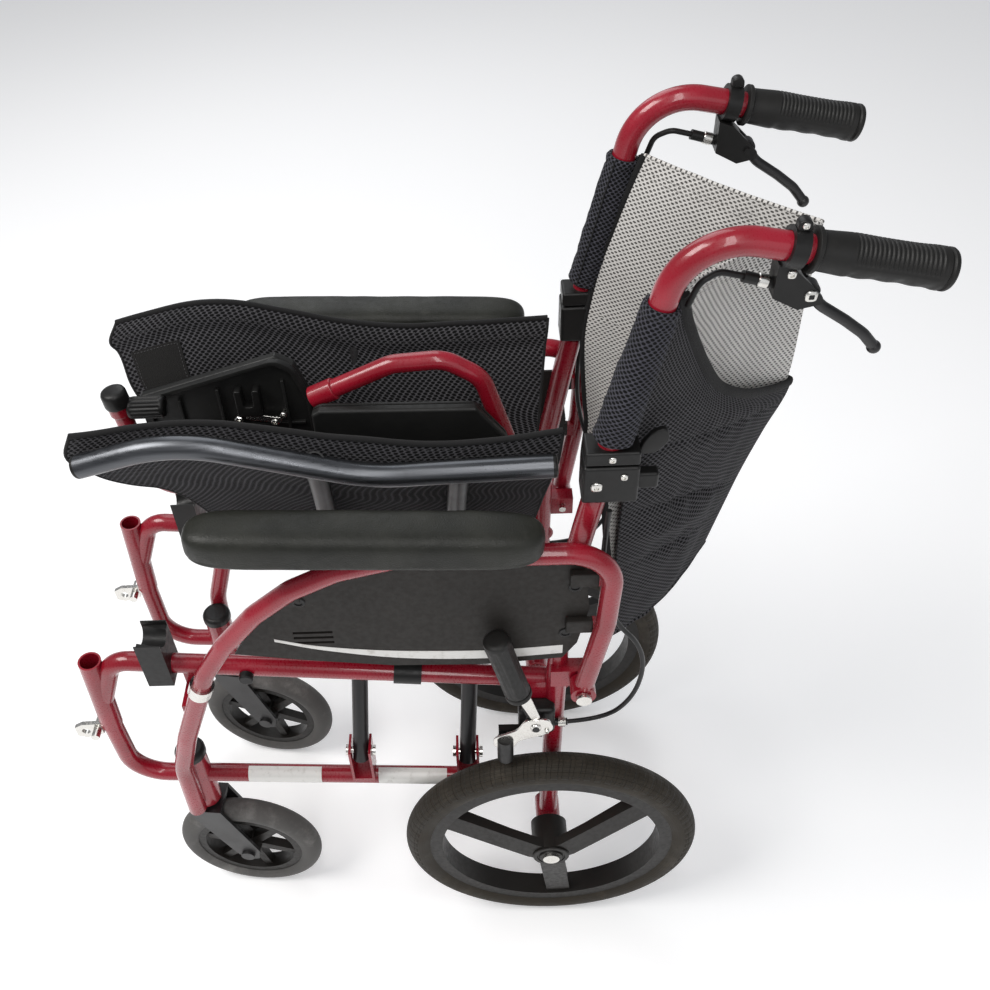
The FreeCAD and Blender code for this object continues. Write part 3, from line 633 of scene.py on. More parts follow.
def hug(fn, offset):
    """The surface of fn pushed out along its own normal."""
    return lambda u, v: fn(u, v) + normal_at(fn, u, v) * offset


def along_u(v, start=0, span=1, steps=60):
    """A path across a sheet, as (u, v) pairs."""
    return [(start + span * k / steps, v) for k in range(steps + 1)]


def along_v(u, start=0, span=1, steps=60):
    """A path down a sheet, as (u, v) pairs."""
    return [(u, start + span * k / steps) for k in range(steps + 1)]


def line_on(fn, path):
    return [fn(u, v) for u, v in path]


def stitches(name, fn, path, raised, material=None, pitch=4.6, length=3.1, both=False):
    """A row of sewn stitches that lie on fn(u, v) along a path; raised is above the surface."""
    line = line_on(fn, path)
    normals = [normal_at(fn, u, v) for u, v in path]
    reach = reach_of(line)
    verts, faces = [], []

    def sample(d):
        j, t = place_on(reach, min(max(d, 0), reach[-1]))
        return line[j].lerp(line[j + 1], t), normals[j].lerp(normals[j + 1], t).normalized()

    at = 0
    while at + length < reach[-1]:
        for lift in ((raised, -raised) if both else (raised,)):
            faces += tube_faces(5, 6, len(verts))
            for k in range(5):
                t = k / 4
                centre, normal = sample(at + length * t)
                ahead = sample(at + length * t + 0.3)[0] - centre
                tangent = ahead.normalized() if ahead.length > 1e-6 else normal.orthogonal()
                side = tangent.cross(normal).normalized()
                sag = abs(lift) - 0.55 * (2 * t - 1) ** 2
                radius = 0.36 * (1 if 0 < k < 4 else 0.55)
                for n in range(6):
                    angle = n * math.pi / 3
                    height = math.copysign(sag, lift) + math.sin(angle) * radius
                    verts.append(P(*(centre + normal * height + side * math.cos(angle) * radius)))
        at += pitch
    return add(name, verts, faces, material or THREAD)


# ---------------------------------------------------------------- materials of the CAD nodes

REAR_TYRES, CASTER_TYRES = {}, {}
for side, name in SIDES:
    REAR_TYRES[name] = tyre_rubber(
        "rear_tyre_rubber_" + name, (0.016, 0.013, 0.009), (0.038, 0.031, 0.022),
        radius=0.178, axle=P(side * 152, 0, 178),
    )
    CASTER_TYRES[name] = tyre_rubber(
        "caster_tyre_rubber_" + name, (0.060, 0.058, 0.056), (0.115, 0.110, 0.104), dust=0.5
    )
FINISHES = {  # the finish of each CAD node, by the name without its side or number
    RED: ("side_frame", "arm_tube", "cane", "footrest_tube"),
    BLACK_COAT: ("brace", "caster_fork", "brake_lever"),
    STEEL: ("frame_fittings", "brace_bolts"),
    RAIL_GREY: ("seat_rail",),
    PLASTIC: ("cane_collar", "back_hinge", "seat_saddles", "arm_latch", "brake_body", "brake_bracket"),
    RIM_PLASTIC: ("rear_rim", "caster_rim"),
    PANEL: ("side_panel",),
    PLATE: ("footplate",),
    CABLE: ("brake_cable",),
    GRIP: ("push_grip", "brake_handle"),
    LEATHER: ("arm_pad",),
    SLEEVE_MESH: ("cane_sleeve",),
    LIGHT_MESH: ("back_panel",),
    DARK_MESH: ("back_flap", "seat_panel"),
}
FINISH_OF = {stem: finish for finish, stems in FINISHES.items() for stem in stems}
for node_name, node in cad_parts.items():
    stem, _, ending = node_name.rpartition("_")
    if ending not in ("left", "right", "a", "b", "1", "2"):
        stem = node_name
    tyres = {"rear_tyre": REAR_TYRES, "caster_tyre": CASTER_TYRES}.get(stem)
    node.data.materials.clear()
    node.data.materials.append(tyres[ending] if tyres else FINISH_OF[stem])

# ---------------------------------------------------------------- the sling seat

FOLD_TILT = math.radians(3.7)
FOLD_AXIS = Vector((0, math.cos(FOLD_TILT), -math.sin(FOLD_TILT)))
FOLD_UP = Vector((0, math.sin(FOLD_TILT), math.cos(FOLD_TILT)))
PIVOT = Vector((0, -161, 303))
RAIL_LINE = [(-427, 785), (-338, 810), (-168, 760), (-6, 765)]
SEAT_FRONT = [  # where the seat's front edge lies, by how far down the sling
    (0, -436), (0.10, -444), (0.20, -434), (0.34, -424), (0.45, -406), (0.56, -372),
    (0.75, -348), (1, -336),
]
HEM = {  # height of each hem above the rail's centre line, by y
    1: [(-440, 23), (-394, 15), (-349, 12), (-271, 17), (-176, 23), (-79, 16), (2, 24)],
    -1: [(-440, 15), (-349, 14), (-200, 16), (2, 15)],
}
HEM_PART = 0.16  # the part of the sling's drop that lies over the rail
RAIL_INNER = 87.3  # the sling's distance from the middle, just inside the rail


def fold_point(x, along, height):
    return Vector((x, 0, 0)) + PIVOT + FOLD_AXIS * along + FOLD_UP * height


def rail_z(y):
    """Height of the seat rail's centre line, with its bends eased."""
    total = 0
    pairs = list(zip(RAIL_LINE, RAIL_LINE[1:]))
    for k in range(-4, 5):
        at = y + k * 11
        (y0, z0), (y1, z1) = next((p for p in pairs if at <= p[1][0]), pairs[-1])
        total += z0 + (z1 - z0) * (at - y0) / (y1 - y0)
    return total / 9


def seat_surface(side):
    """Half of the sling: from the hem over the rail's inner side down to the pouch's lowest line."""
    top = 85.5 if side > 0 else 97

    def fn(u, v):
        y = lerp(table_at(SEAT_FRONT, v), lerp(2, -8, v), u)
        rail = Vector((0, y, rail_z(y))) - PIVOT
        along, level = rail.dot(FOLD_AXIS), rail.dot(FOLD_UP)
        if v < HEM_PART:
            t = v / HEM_PART
            ripple = 1.1 * noise.noise(Vector((y * 0.021, 3 * side, 0.7)))
            x = lerp(RAIL_INNER, top, (1 - t) ** 3)
            height = lerp(level + table_at(HEM[side], y) + ripple, level - 10, t)
        else:
            t = (v - HEM_PART) / (1 - HEM_PART)
            height = lerp(level - 10, 274, t)
            bow = math.sin(math.pi * t)
            x = lerp(RAIL_INNER, 0, t)
            x -= bow * (2.2 + 1.1 * noise.noise(Vector((y * 0.012, t * 2.5, 9 + side))))
            x += bow * 0.5 * noise.noise(Vector((y * 0.05, t * 9, 4 + side)))
        return fold_point(side * x, along, height)

    return fn


def seat_half(side, name):
    fn = seat_surface(side)
    sheet, flat, area = cloth("seat_sling_" + name, fn, (72, 54), DARK_MESH, 2.4)
    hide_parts("seat_panel_" + name)
    rim = [p + FOLD_UP * 0.4 for p in line_on(fn, along_u(0))]
    bound = [
        sweep("seat_hem_roll_" + name, rim, oval(2.9, 3.3, 12), BINDING),
        sweep("seat_front_binding_" + name, line_on(fn, along_v(0)), oval(1.6, 2.2, 10), BINDING),
        sweep("seat_rear_binding_" + name, line_on(fn, along_v(1)), oval(1.6, 2, 10), BINDING),
    ]
    paths = [along_u(depth, 0.006, 0.988, 90) for depth in (0.030, 0.086)]
    paths += [along_v(0.018, 0.02, 0.93), along_u(0.935, 0.02, 0.96, 90)]
    sewn = joined("seat_stitching_" + name, [stitches("row", fn, path, 1.45, both=True) for path in paths])
    # the hook-and-loop patch that holds the calf strap, on the outer face below the rail
    outer = hug(fn, side * 1.9)
    patch, patch_flat, patch_area = cloth(
        "seat_tape_patch_" + name, outer, (16, 18), TAPE, 1.4, ((0.028, 0.150), (0.19, 0.44))
    )
    ring = [(0.034, 0.20), (0.144, 0.20), (0.144, 0.43), (0.034, 0.43), (0.034, 0.20)]
    path = []
    for (a, b), (c, d) in zip(ring, ring[1:]):
        path += [(lerp(a, c, k / 14), lerp(b, d, k / 14)) for k in range(14)]
    edge = stitches("seat_tape_stitching_" + name, outer, path, side * 1, pitch=3.8, length=2.6)
    for obj in (sheet, *bound, sewn, patch, edge):
        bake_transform(obj)


for side, name in SIDES:
    seat_half(side, name)

# ---------------------------------------------------------------- the back upholstery

FRONT_EDGE = [  # how far back the front layer is sewn on, by height
    (524, 50), (580, 48), (633, 50), (662, 47), (718, 42), (756, 41), (793, 45), (833, 52), (869, 62),
    (912, 75), (950, 88),
]
POST_EDGE = [
    (520, 58), (590, 56), (650, 56), (700, 56), (742, 58), (787, 60), (830, 62), (880, 73), (952, 89),
]
APEX_EDGE = [(520, 161), (547, 167), (600, 178), (652, 189), (705, 203), (761, 219), (856, 220), (940, 220)]
POCKET_EDGE = [
    (0, 944), (0.09, 914), (0.196, 884), (0.33, 848), (0.464, 815), (0.68, 786), (0.91, 768), (1, 765),
]
SPLIT = (784, 742)  # the seam where the upper panel meets the flap, at the cane and at the crease
CREASES = ((712, 642), (634, 600))
FLAP_HEM = (530, 546)


def split(u):
    return lerp(*SPLIT, u)


def flap_hem(u):
    return lerp(*FLAP_HEM, u) - 14 * math.sin(math.pi * u)


def back_sheet(side, front, low, high, seed, seams=()):
    """Half of the back: from the cane's edge rearwards to the middle crease. low and high give z by u."""

    def fn(u, v):
        z = lerp(low(u), high(u), v)
        x0, edge, bulge, gap = (105, FRONT_EDGE, -3, 0) if front else (112, POST_EDGE, 7, 4.6)
        x = lerp(x0, 0, u) * side
        y = lerp(table_at(edge, z), table_at(APEX_EDGE, z) + gap, u)
        wave = 2.2 * noise.noise(Vector((u * 2.6 + seed, z * 0.012, side * 3 + seed)))
        wave += 1 * noise.noise(Vector((u * 7, z * 0.035 + seed, side * 5)))
        if not front:
            wave *= 1 if z > 800 else 1 + (800 - z) / 110
            fold = z - lerp(676, 618, u)
            wave += 7 * math.exp(-((fold / 13) ** 2)) * smooth((0.9 - u) / 0.5)
            wave = max(wave, -6)
        for start, stop, depth in seams:
            below = z - lerp(start, stop, u)
            wave -= depth * math.exp(-(below / 5) ** 2)
            pull = 1.1 * math.sin(u * 46 + seed) * math.exp(-(below / 17) ** 2)
            wave += pull * math.sin(math.pi * u)
        push = math.sin(math.pi * min(max(u, 0), 1)) * (bulge + wave)
        return Vector((x + side * 0.82 * push, y + 0.57 * push, z))

    return fn


def back_half(side, name):
    light_up = back_sheet(side, True, split, lambda u: lerp(947, 934, u), 1.3)
    light_low = back_sheet(side, True, lambda u: lerp(538, 550, u), split, 1.3)
    dark_up = back_sheet(side, False, split, lambda u: table_at(POCKET_EDGE, u), 6.1, [(*SPLIT, 1.6)])
    seams = [(*SPLIT, 2.2), (*CREASES[0], 5.6), (*CREASES[1], 3.2)]
    dark_low = back_sheet(side, False, flap_hem, split, 6.1, seams)

    def flap_row(start, stop, drop=0):
        """A sewn line across the flap, by its heights at both ends and its sag."""
        path = []
        for u, _ in along_u(0, 0.01, 0.98):
            low = flap_hem(u)
            level = lerp(start, stop, u) - drop * math.sin(math.pi * u)
            path.append((u, min(max((level - low) / (split(u) - low), 0.02), 0.98)))
        return stitches("flap_row", dark_low, path, 1.3)

    rim = line_on(dark_up, along_u(1, steps=70))
    top_rows = []
    for level in (0.925, 0.895):
        top_rows.append(stitches("row", light_up, along_u(level, 0.01, 0.98), 1.4, PALE_THREAD, both=True))
    pocket_rows = [stitches("row", dark_up, along_u(0.955, 0.02, 0.96), 1.3)]
    pocket_rows.append(stitches("row", dark_up, along_u(0.02, 0.01, 0.98), 1.3))
    flap_rows = [flap_row(778, 736), flap_row(*CREASES[0]), flap_row(*CREASES[1])]
    flap_rows.append(flap_row(541, 556, 14))

    def bound(stem, fn, wide, thick):
        """Binding tape round the edge of a panel at the cane."""
        edge = line_on(fn, along_v(0, steps=50))
        return sweep(stem + name, edge, oval(wide, thick, 14), BINDING, (side, 0.3, 0))

    upper_panel = cloth("back_panel_front_" + name, light_up, (52, 44), LIGHT_MESH, 2.4)
    pocket = cloth("back_pocket_" + name, dark_up, (52, 44), DARK_MESH, 2.2)
    flap_front = cloth("back_flap_front_" + name, light_low, (48, 48), LIGHT_MESH, 2.4)
    flap_rear = cloth("back_flap_rear_" + name, dark_low, (60, 66), DARK_MESH, 2.2)
    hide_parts("back_panel_" + name)
    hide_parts("back_flap_" + name)
    top_edge = line_on(light_up, along_u(1, steps=50))
    hem_edge = line_on(dark_low, along_u(0))
    above = [
        (upper_panel[0], "light_mesh"),
        (pocket[0], "dark_mesh"),
        (sweep("pocket_binding_" + name, rim, oval(2.6, 5.4, 16), BINDING, (0, 0.2, 1)), "black_plastic"),
        (bound("panel_side_binding_", light_up, 3.6, 2.8), "black_plastic"),
        (sweep("panel_top_roll_" + name, top_edge, oval(1.7, 1.9, 12), LIGHT_MESH), "light_mesh"),
        (joined("panel_stitching_" + name, top_rows), "light_mesh"),
        (joined("pocket_stitching_" + name, pocket_rows), "dark_mesh"),
    ]
    below = [
        (flap_front[0], "light_mesh"),
        (flap_rear[0], "dark_mesh"),
        (bound("flap_side_binding_", light_low, 3.4, 2.6), "black_plastic"),
        (sweep("flap_hem_roll_" + name, hem_edge, oval(1.9, 2.4, 12), DARK_MESH), "dark_mesh"),
        (joined("flap_stitching_" + name, flap_rows), "dark_mesh"),
    ]
    for obj, slot in above:
        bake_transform(obj)
    for obj, slot in below:
        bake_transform(obj)
    for sheets, rest in (((upper_panel, pocket), "cane_sleeve_"), ((flap_front, flap_rear), "side_frame_")):
        for sheet, flat, area in sheets:
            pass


for side, name in SIDES:
    back_half(side, name)

# ---------------------------------------------------------------- sleeves, grips and arm pads

GRIP_AXIS = Vector((0, 105, -23)).normalized()
CANE_LOW, CANE_HIGH = Vector((118, 41.6, 808.8)), Vector((118, 70.6, 941))
CANE_END = Vector((118, 171, 983))


def fix(obj, body):
    """Fastens a small piece to a body."""
    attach(obj, body)


def sleeve(side, name):
    """The spacer-fabric sleeve sewn round the cane: a long seam, hems and a hook-tape strip behind."""
    mirror = Vector((side, 1, 1))
    low, high = CANE_LOW * mirror, CANE_HIGH * mirror
    axis = (high - low).normalized()
    reach = (high - low).length
    rear = (Vector((0, 1, 0)) - axis * axis.y).normalized()
    out = axis.cross(rear) * side

    def radius(along, angle):
        size = lerp(17.2, 15, smooth(along / reach)) + 0.5 * math.cos(2 * angle)
        for depth, turn, step, seed in ((1.1, 1.4, 0.045, 4), (0.7, 2.2, 0.16, 9)):
            spot = Vector((math.cos(angle) * turn, math.sin(angle) * turn, along * step + side * seed))
            size += depth * noise.noise(spot)
        for hem in (9, reach - 9):
            size -= 0.8 * math.exp(-((along - hem) / 1.8) ** 2)
        return size

    def around(angle, along, r):
        return low + axis * along + rear * math.cos(angle) * r + out * math.sin(angle) * r

    def fn(u, v):
        angle, along = 2 * math.pi * u, v * reach
        return around(angle, along, radius(along, angle))

    verts, faces, uvs = [], [], []
    turns = 56
    closed_end = 11.6
    rows = [(0, closed_end)] + [(k / 90 * reach, None) for k in range(91)] + [(reach, closed_end)]
    for along, fixed in rows:
        for k in range(turns + 1):
            angle = 2 * math.pi * k / turns
            r = fixed if fixed else radius(along, angle) - (1 if along in (0, reach) else 0)
            verts.append(P(*around(angle, along, r)))
            uvs.append((angle * 0.016, along * 0.001 + (0.004 if fixed else 0)))
    for j in range(len(rows) - 1):
        for k in range(turns):
            a = j * (turns + 1) + k
            faces.append((a, a + 1, a + turns + 2, a + turns + 1))
    tube = add("cane_sleeve_cloth_" + name, verts, faces, SLEEVE_MESH, uvs, 60)
    settle(tube, "WELD", merge_threshold=0.00002)
    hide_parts("cane_sleeve_" + name)
    seam = line_on(fn, along_v(0.36, 0.01, 0.98, 50))
    paths = [along_v(0.385, 0.02, 0.96)]
    paths += [along_u(level / reach, steps=40) for level in (6, reach - 6)]
    rows = [stitches("row", fn, path, -side * 0.35) for path in paths]
    strip = hug(fn, -side * 0.9)
    tape = cloth("sleeve_tape_" + name, strip, (10, 30), TAPE, 1.2, ((0.02, 0.14), (0.30, 0.72)))
    fix(tube, name + "_cane")
    fix(sweep("sleeve_seam_" + name, seam, oval(0.7, 1.2, 8), BINDING, out), name + "_cane")
    fix(joined("sleeve_stitching_" + name, rows), name + "_cane")
    fix(tape[0], name + "_cane")


def grip(side, name):
    """The moulded push grip: flange, smooth neck, ribbed palm, finger waves below and a ringed end."""
    across = GRIP_AXIS.orthogonal().normalized()
    top = math.atan2(GRIP_AXIS.cross(across).z, across.z)
    profile = [(0, 11.2), (0, 16.4), (0.7, 17.3), (3.6, 17.3), (4.4, 16.4), (5.4, 14.8)]
    palm = [(5.4, 14.8), (14, 15.2), (30, 16), (52, 15.5), (78, 15.4), (94, 16.1), (100, 16.2)]
    profile += [(5.4 + k * 0.5, table_at(palm, 5.4 + k * 0.5)) for k in range(1, 189)]
    profile += [(100.2, 15.5), (101, 15.1), (101.8, 15.5), (102.4, 16.2), (104.4, 16.2), (105.8, 15.4)]
    profile += [(106.6, 13.6), (106.8, 9), (106.3, 8.6), (106.3, 0.6)]

    def shape(s, angle):
        if not 6 < s < 99.7:
            return 0
        upper = math.cos(angle - top)
        fade = smooth((s - 26) / 6) * smooth((97 - s) / 4)
        ribs = max(-0.75, min(0.25, 0.95 * math.cos(2 * math.pi * s / 3.5)))
        change = (ribs - 0.1) * smooth((upper - 0.05) / 0.25)
        change -= 0.375 * (1 - math.cos(2 * math.pi * (s - 20) / 20)) * smooth((-upper - 0.2) / 0.4)
        change -= 0.5 * math.exp(-((upper - 0.02) / 0.05) ** 2)
        return change * fade

    start = CANE_END * Vector((side, 1, 1)) + GRIP_AXIS * 0.3
    body = lathe("push_grip_body_" + name, start, GRIP_AXIS, profile, GRIP, 72, shape)
    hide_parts("push_grip_" + name)
    fix(body, name + "_cane")


def arm_pad(side, name):
    """The moulded foam arm pad: crowned top, rounded ends, a flat base and a low parting line."""
    centre = Vector((side * 163.2, -173.5, 742.2))
    slope = math.radians(3)
    lengthwise = Vector((0, math.cos(slope), -math.sin(slope)))
    upward = Vector((0, math.sin(slope), math.cos(slope)))
    half, rows, around = 157, 97, 64
    verts, uvs = [], []
    for stop in range(rows):
        s = max(-0.9999, min(0.9999, -math.cos(math.pi * stop / (rows - 1))))
        reach = (1 - abs(s) ** 9) ** (1 / 2.6)
        wide = 24.6 * reach * lerp(1, 0.965, (s + 1) / 2)
        rise = 18.6 * (0.42 + 0.58 * (1 - abs(s) ** 13) ** (1 / 2.2)) * (reach ** 0.25)
        for k in range(around):
            angle = 2 * math.pi * k / around
            c, d = math.cos(angle), math.sin(angle)
            side_power, top_power = (0.56, 0.62) if d > 0 else (0.36, 0.34)
            a = math.copysign(abs(c) ** side_power, c) * wide
            b = math.copysign(abs(d) ** top_power, d) * rise
            if d > 0:
                b += 0.9 * (1 - (a / 25) ** 2)
            spot = Vector((a * 0.035, s * 6, b * 0.05 + side * 3))
            a += 0.35 * noise.noise(spot) * math.copysign(1, a)
            if d > -0.2:
                b += 0.55 * noise.noise(spot + Vector((7, 0, 0)))
            if abs(a) > 3:
                a -= math.copysign(0.7 * math.exp(-(((b + 9.5) / 0.9) ** 2)), a)
            verts.append(P(*(centre + lengthwise * (s * half) + Vector((side * a, 0, 0)) + upward * b)))
            uvs.append((angle * 0.02, s * half * 0.001))
    faces = tube_faces(rows, around)
    if side < 0:
        faces = [(face[0], *face[:0:-1]) for face in faces]
    pad = add("arm_pad_foam_" + name, verts, faces, LEATHER, uvs, 60)
    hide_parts("arm_pad_" + name)
    fix(pad, name + "_armrest")
    for y in (-262, -92):
        at = Vector((side * 152, y, 742.2 - (y + 173.5) * 0.0524 - 19))
        fix(screw("arm_pad_screw_%s_%d" % (name, -y), at, -upward, 4.2, 1.6), name + "_armrest")


# ---------------------------------------------------------------- trim and small fittings


def ring_plate(name, corners, inset, radius, low, high):
    """A rounded frame of the given width between two X values."""
    cy = sum(p[0] for p in corners) / len(corners)
    cz = sum(p[1] for p in corners) / len(corners)
    size = max(math.hypot(y - cy, z - cz) for y, z in corners)
    shrink = 1 - inset * 1.35 / size
    outer = rounded_outline(corners, radius)
    inner = [(cy + (y - cy) * shrink, cz + (z - cz) * shrink) for y, z in corners]
    inner = rounded_outline(inner, radius * 0.6)
    n = len(outer)
    verts = [P(x, y, z) for x in (low, high) for loop in (outer, inner) for y, z in loop]
    faces = []
    for k in range(n):
        m = (k + 1) % n
        faces.append((k, m, n + m, n + k))
        faces.append((2 * n + k, 3 * n + k, 3 * n + m, 2 * n + m))
        faces.append((k, 2 * n + k, 2 * n + m, m))
        faces.append((n + k, n + m, 3 * n + m, 3 * n + k))
    obj = add(name, verts, faces, PLATE)
    build = bmesh.new()
    build.from_mesh(obj.data)
    bmesh.ops.recalc_face_normals(build, faces=build.faces)
    build.to_mesh(obj.data)
    build.free()
    settle(obj, "BEVEL", width=0.0008, segments=2, limit_method="ANGLE", angle_limit=0.7)
    obj.data.set_sharp_from_angle(angle=math.radians(35))
    return obj


def rail_label(name, y0, y1):
    """A blank film label that wraps part of the left lower rail."""

    def fn(u, v):
        angle = math.radians(lerp(-18, 104, u))
        y = lerp(y0, y1, v)
        z = 246 - 0.0642 * (y + 138)
        return Vector((104 + math.cos(angle) * 11.35, y, z + math.sin(angle) * 11.35))

    return cloth(name, fn, (18, 30), LABEL, 0.25)[0]


def curved_stripe(side, name):
    """The plain pale stripe along the foot of the side panel."""
    mid = run_of([(0, -282, 573), (0, -235, 558), (0, -159, 544.5), (0, -70, 540.5), (0, 6, 546)], 48)
    upper, lower = [], []
    for k, p in enumerate(mid):
        wide = lerp(2.2, 7, smooth(k / 48 / 0.6))
        upper.append((p.y, p.z + wide))
        lower.append((p.y, p.z - wide * 0.85))
    return plate("panel_stripe_" + name, upper + lower[::-1], 0, side * 140.4, side * 141, LABEL, 0.15)


def bar(y0, z0, y1, z1):
    return [(y0, z0), (y1, z0), (y1, z1), (y0, z1)]


CLAMP = CANE_END - GRIP_AXIS * 11 + Vector((0, 3.4, 15.4))
CLAMP_EAR = [(-5.5, -1), (5.5, -1), (5, 5.5), (2, 8), (-2, 8), (-5, 5.5)]
CLAMP_EAR = [(CLAMP.y + y, CLAMP.z + z) for y, z in CLAMP_EAR]
CHEEK = [(-6, 438), (-31, 437), (-40, 418), (-66, 404), (-66, 386), (-44, 384), (-38, 398), (-12, 408)]
CHEEK += [(0, 420)]
LINK = [(-24, 436), (-15, 439), (-24, 472), (-30, 489), (-40, 487), (-36, 466)]
RELEASE = [(64, 790), (80, 792), (90, 806), (86, 820), (74, 815), (66, 802)]
HANDLE = Vector((0, -23, 94))
SCREWS = (  # name, body, place on the left side, radius and height
    ("hinge_screw_%s_765", "frame", (133, 29, 765), 5.2, 1.8),
    ("hinge_screw_%s_776", "frame", (133, 52, 776), 3.4, 1.8),
    ("collar_screw_%s", "cane", (132.4, 41, 795.6), 3.4, 1.5),
    ("bracket_bolt_%s_0", "cane", (123.1, 178, 946), 5, 2),
    ("bracket_bolt_%s_1", "cane", (123.1, 160.5, 965.5), 3.6, 2),
    ("clamp_screw_%s", "cane", (122.5, CLAMP.y, CLAMP.z + 3.6), 2.8, 1.4),
    ("brake_bolt_%s_0", "frame", (153.6, -20, 424), 6, 2.6),
    ("brake_bolt_%s_1", "frame", (153.6, -56, 395), 4.6, 2.6),
    ("brake_bolt_%s_2", "frame", (153.6, -8, 418), 2.8, 2.6),
)
PLATES = (  # name, body, outline, corner radius, inner and outer face, material and broken edge
    ("panel_lug_%s_0", "armrest", bar(9.2, 650.2, 36, 667.8), 2.5, 140.6, 148.6, PANEL, 1.2),
    ("panel_lug_%s_1", "armrest", bar(7.2, 581.2, 33.5, 598.8), 2.5, 140.6, 148.6, PANEL, 1.2),
    ("panel_lug_%s_2", "armrest", bar(-262.8, 639.2, -245.2, 650.5), 2.5, 140.6, 148.6, PANEL, 1.2),
    ("hinge_release_%s", "cane", RELEASE, 6, 115.5, 121.5, PLASTIC, 1.4),
    ("clamp_ear_%s", "cane", CLAMP_EAR, 2, 113.5, 122.5, PLASTIC, 1),
    ("brake_cheek_%s", "frame", CHEEK, 6, 150.9, 153.6, STEEL, 0.6),
    ("brake_link_%s", "brake_handle", LINK, 4, 150.3, 152.4, STEEL, 0.6),
)
CUP = [(0, 6.6), (0.9, 6.6), (1.4, 6), (1.4, 4.2), (0.5, 3.8), (0.5, 0.4)]
ADJUSTER = [(0, 4.6), (0, 5.4), (7, 5.4), (7.6, 4.8), (7.6, 3.6), (12.5, 3.6), (13.2, 3.2), (13.2, 2)]
COLLAR = [(0, 12), (0, 14), (5, 14.2), (6, 13.6), (6, 13.1)]
COVER = [(0, 12.9), (1, 13.3)]
COVER += [(2 + k * 2.05, 13.5 - 0.5 * math.sin(math.pi * k / 40)) for k in range(41)]
COVER += [(86, 13.6), (88.6, 13), (90.2, 11), (90.9, 7.5), (91, 0.6)]
PLUG = [(-2, 7.4), (0.05, 7.4), (0.05, 10.7), (1.6, 10.9), (3.2, 10.2), (4.2, 8), (4.6, 0.5)]
HUB = [(0, 15.5), (0, 21.5), (1.2, 22), (2.2, 21), (2.4, 17), (1.2, 16.4), (1.2, 14.6)]
HUB += [(3.4, 14), (3.6, 11), (3.4, 10.4)]
WELD = [(0, 11.2), (0.8, 12.5), (2.2, 12.7), (3.4, 12), (3.8, 11)]
KNURL, GROOVES = flutes(0.35, 16, 0.5, 6.5), flutes(0.55, 9, 2, 84)
BEAD = flutes(0.22, 22, -1, 4)
TURNED = (  # name, body, place on the left side, direction (None: outboard), profile, material, sides, wave
    ("panel_fastener_%s_0", "armrest", (140.3, 15, 642.5), None, CUP, PLASTIC, 36, None),
    ("panel_fastener_%s_1", "armrest", (140.3, 8, 573), None, CUP, PLASTIC, 36, None),
    ("panel_fastener_%s_2", "armrest", (140.3, -249, 631.5), None, CUP, PLASTIC, 36, None),
    ("cable_adjuster_%s", "cane", (114, 146, 954.5), (0, -23, 7), ADJUSTER, STEEL, 48, KNURL),
    ("handle_collar_%s", "brake_handle", (158, -38.6, 494.6), HANDLE, COLLAR, GRIP, 40, None),
    ("handle_cover_%s", "brake_handle", (158, -39.9, 500), HANDLE, COVER, GRIP, 72, GROOVES),
    ("hub_ring_%s", "wheel", (178, 0, 178), None, HUB, RIM_PLASTIC, 48, None),
    ("weld_%s_0", "frame", (111, 5, 446.2), None, WELD, RED, 56, BEAD),
    ("weld_%s_1", "frame", (111, 1, 237), None, WELD, RED, 56, BEAD),
)


def side_details(side, name):
    out = Vector((side, 0, 0))
    mirror = Vector((side, 1, 1))
    fix(curved_stripe(side, name), name + "_armrest")
    if side > 0:
        fix(rail_label("rail_label_0", -368, -278), "left_frame")
        fix(rail_label("rail_label_1", -208, -124), "left_frame")
    for title, body, place, radius, height in SCREWS:
        fix(screw(title % name, Vector(place) * mirror, out, radius, height), name + "_" + body)
    for title, body, outline, radius, low, high, material, bevel in PLATES:
        piece = plate(title % name, outline, radius, side * low, side * high, material, bevel)
        fix(piece, name + "_" + body)
    for title, body, place, direction, profile, material, turns, wave in TURNED:
        at = Vector(place) * mirror
        piece = lathe(title % name, at, direction or out, profile, material, turns, wave)
        fix(piece, name + "_" + body)
    coil = []
    for k in range(140):
        a = k * 0.42
        coil.append(Vector((side * (133.8 + 4.9 * math.cos(a)), 6 + k * 0.055, 404.2 + 4.9 * math.sin(a))))
    fix(sweep("brake_spring_" + name, coil, oval(0.55, 0.55, 8), STEEL), name + "_frame")
    ends = (((side * 104, -427, 785), (0, -89, -25)), ((side * 104, -6, 765), (0, 162, 5)))
    for n, (at, direction) in enumerate(ends):
        plug = lathe("rail_plug_%s_%d" % (name, n), at, direction, PLUG, PLASTIC)
        fix(plug, "brace_b" if side > 0 else "brace_a")


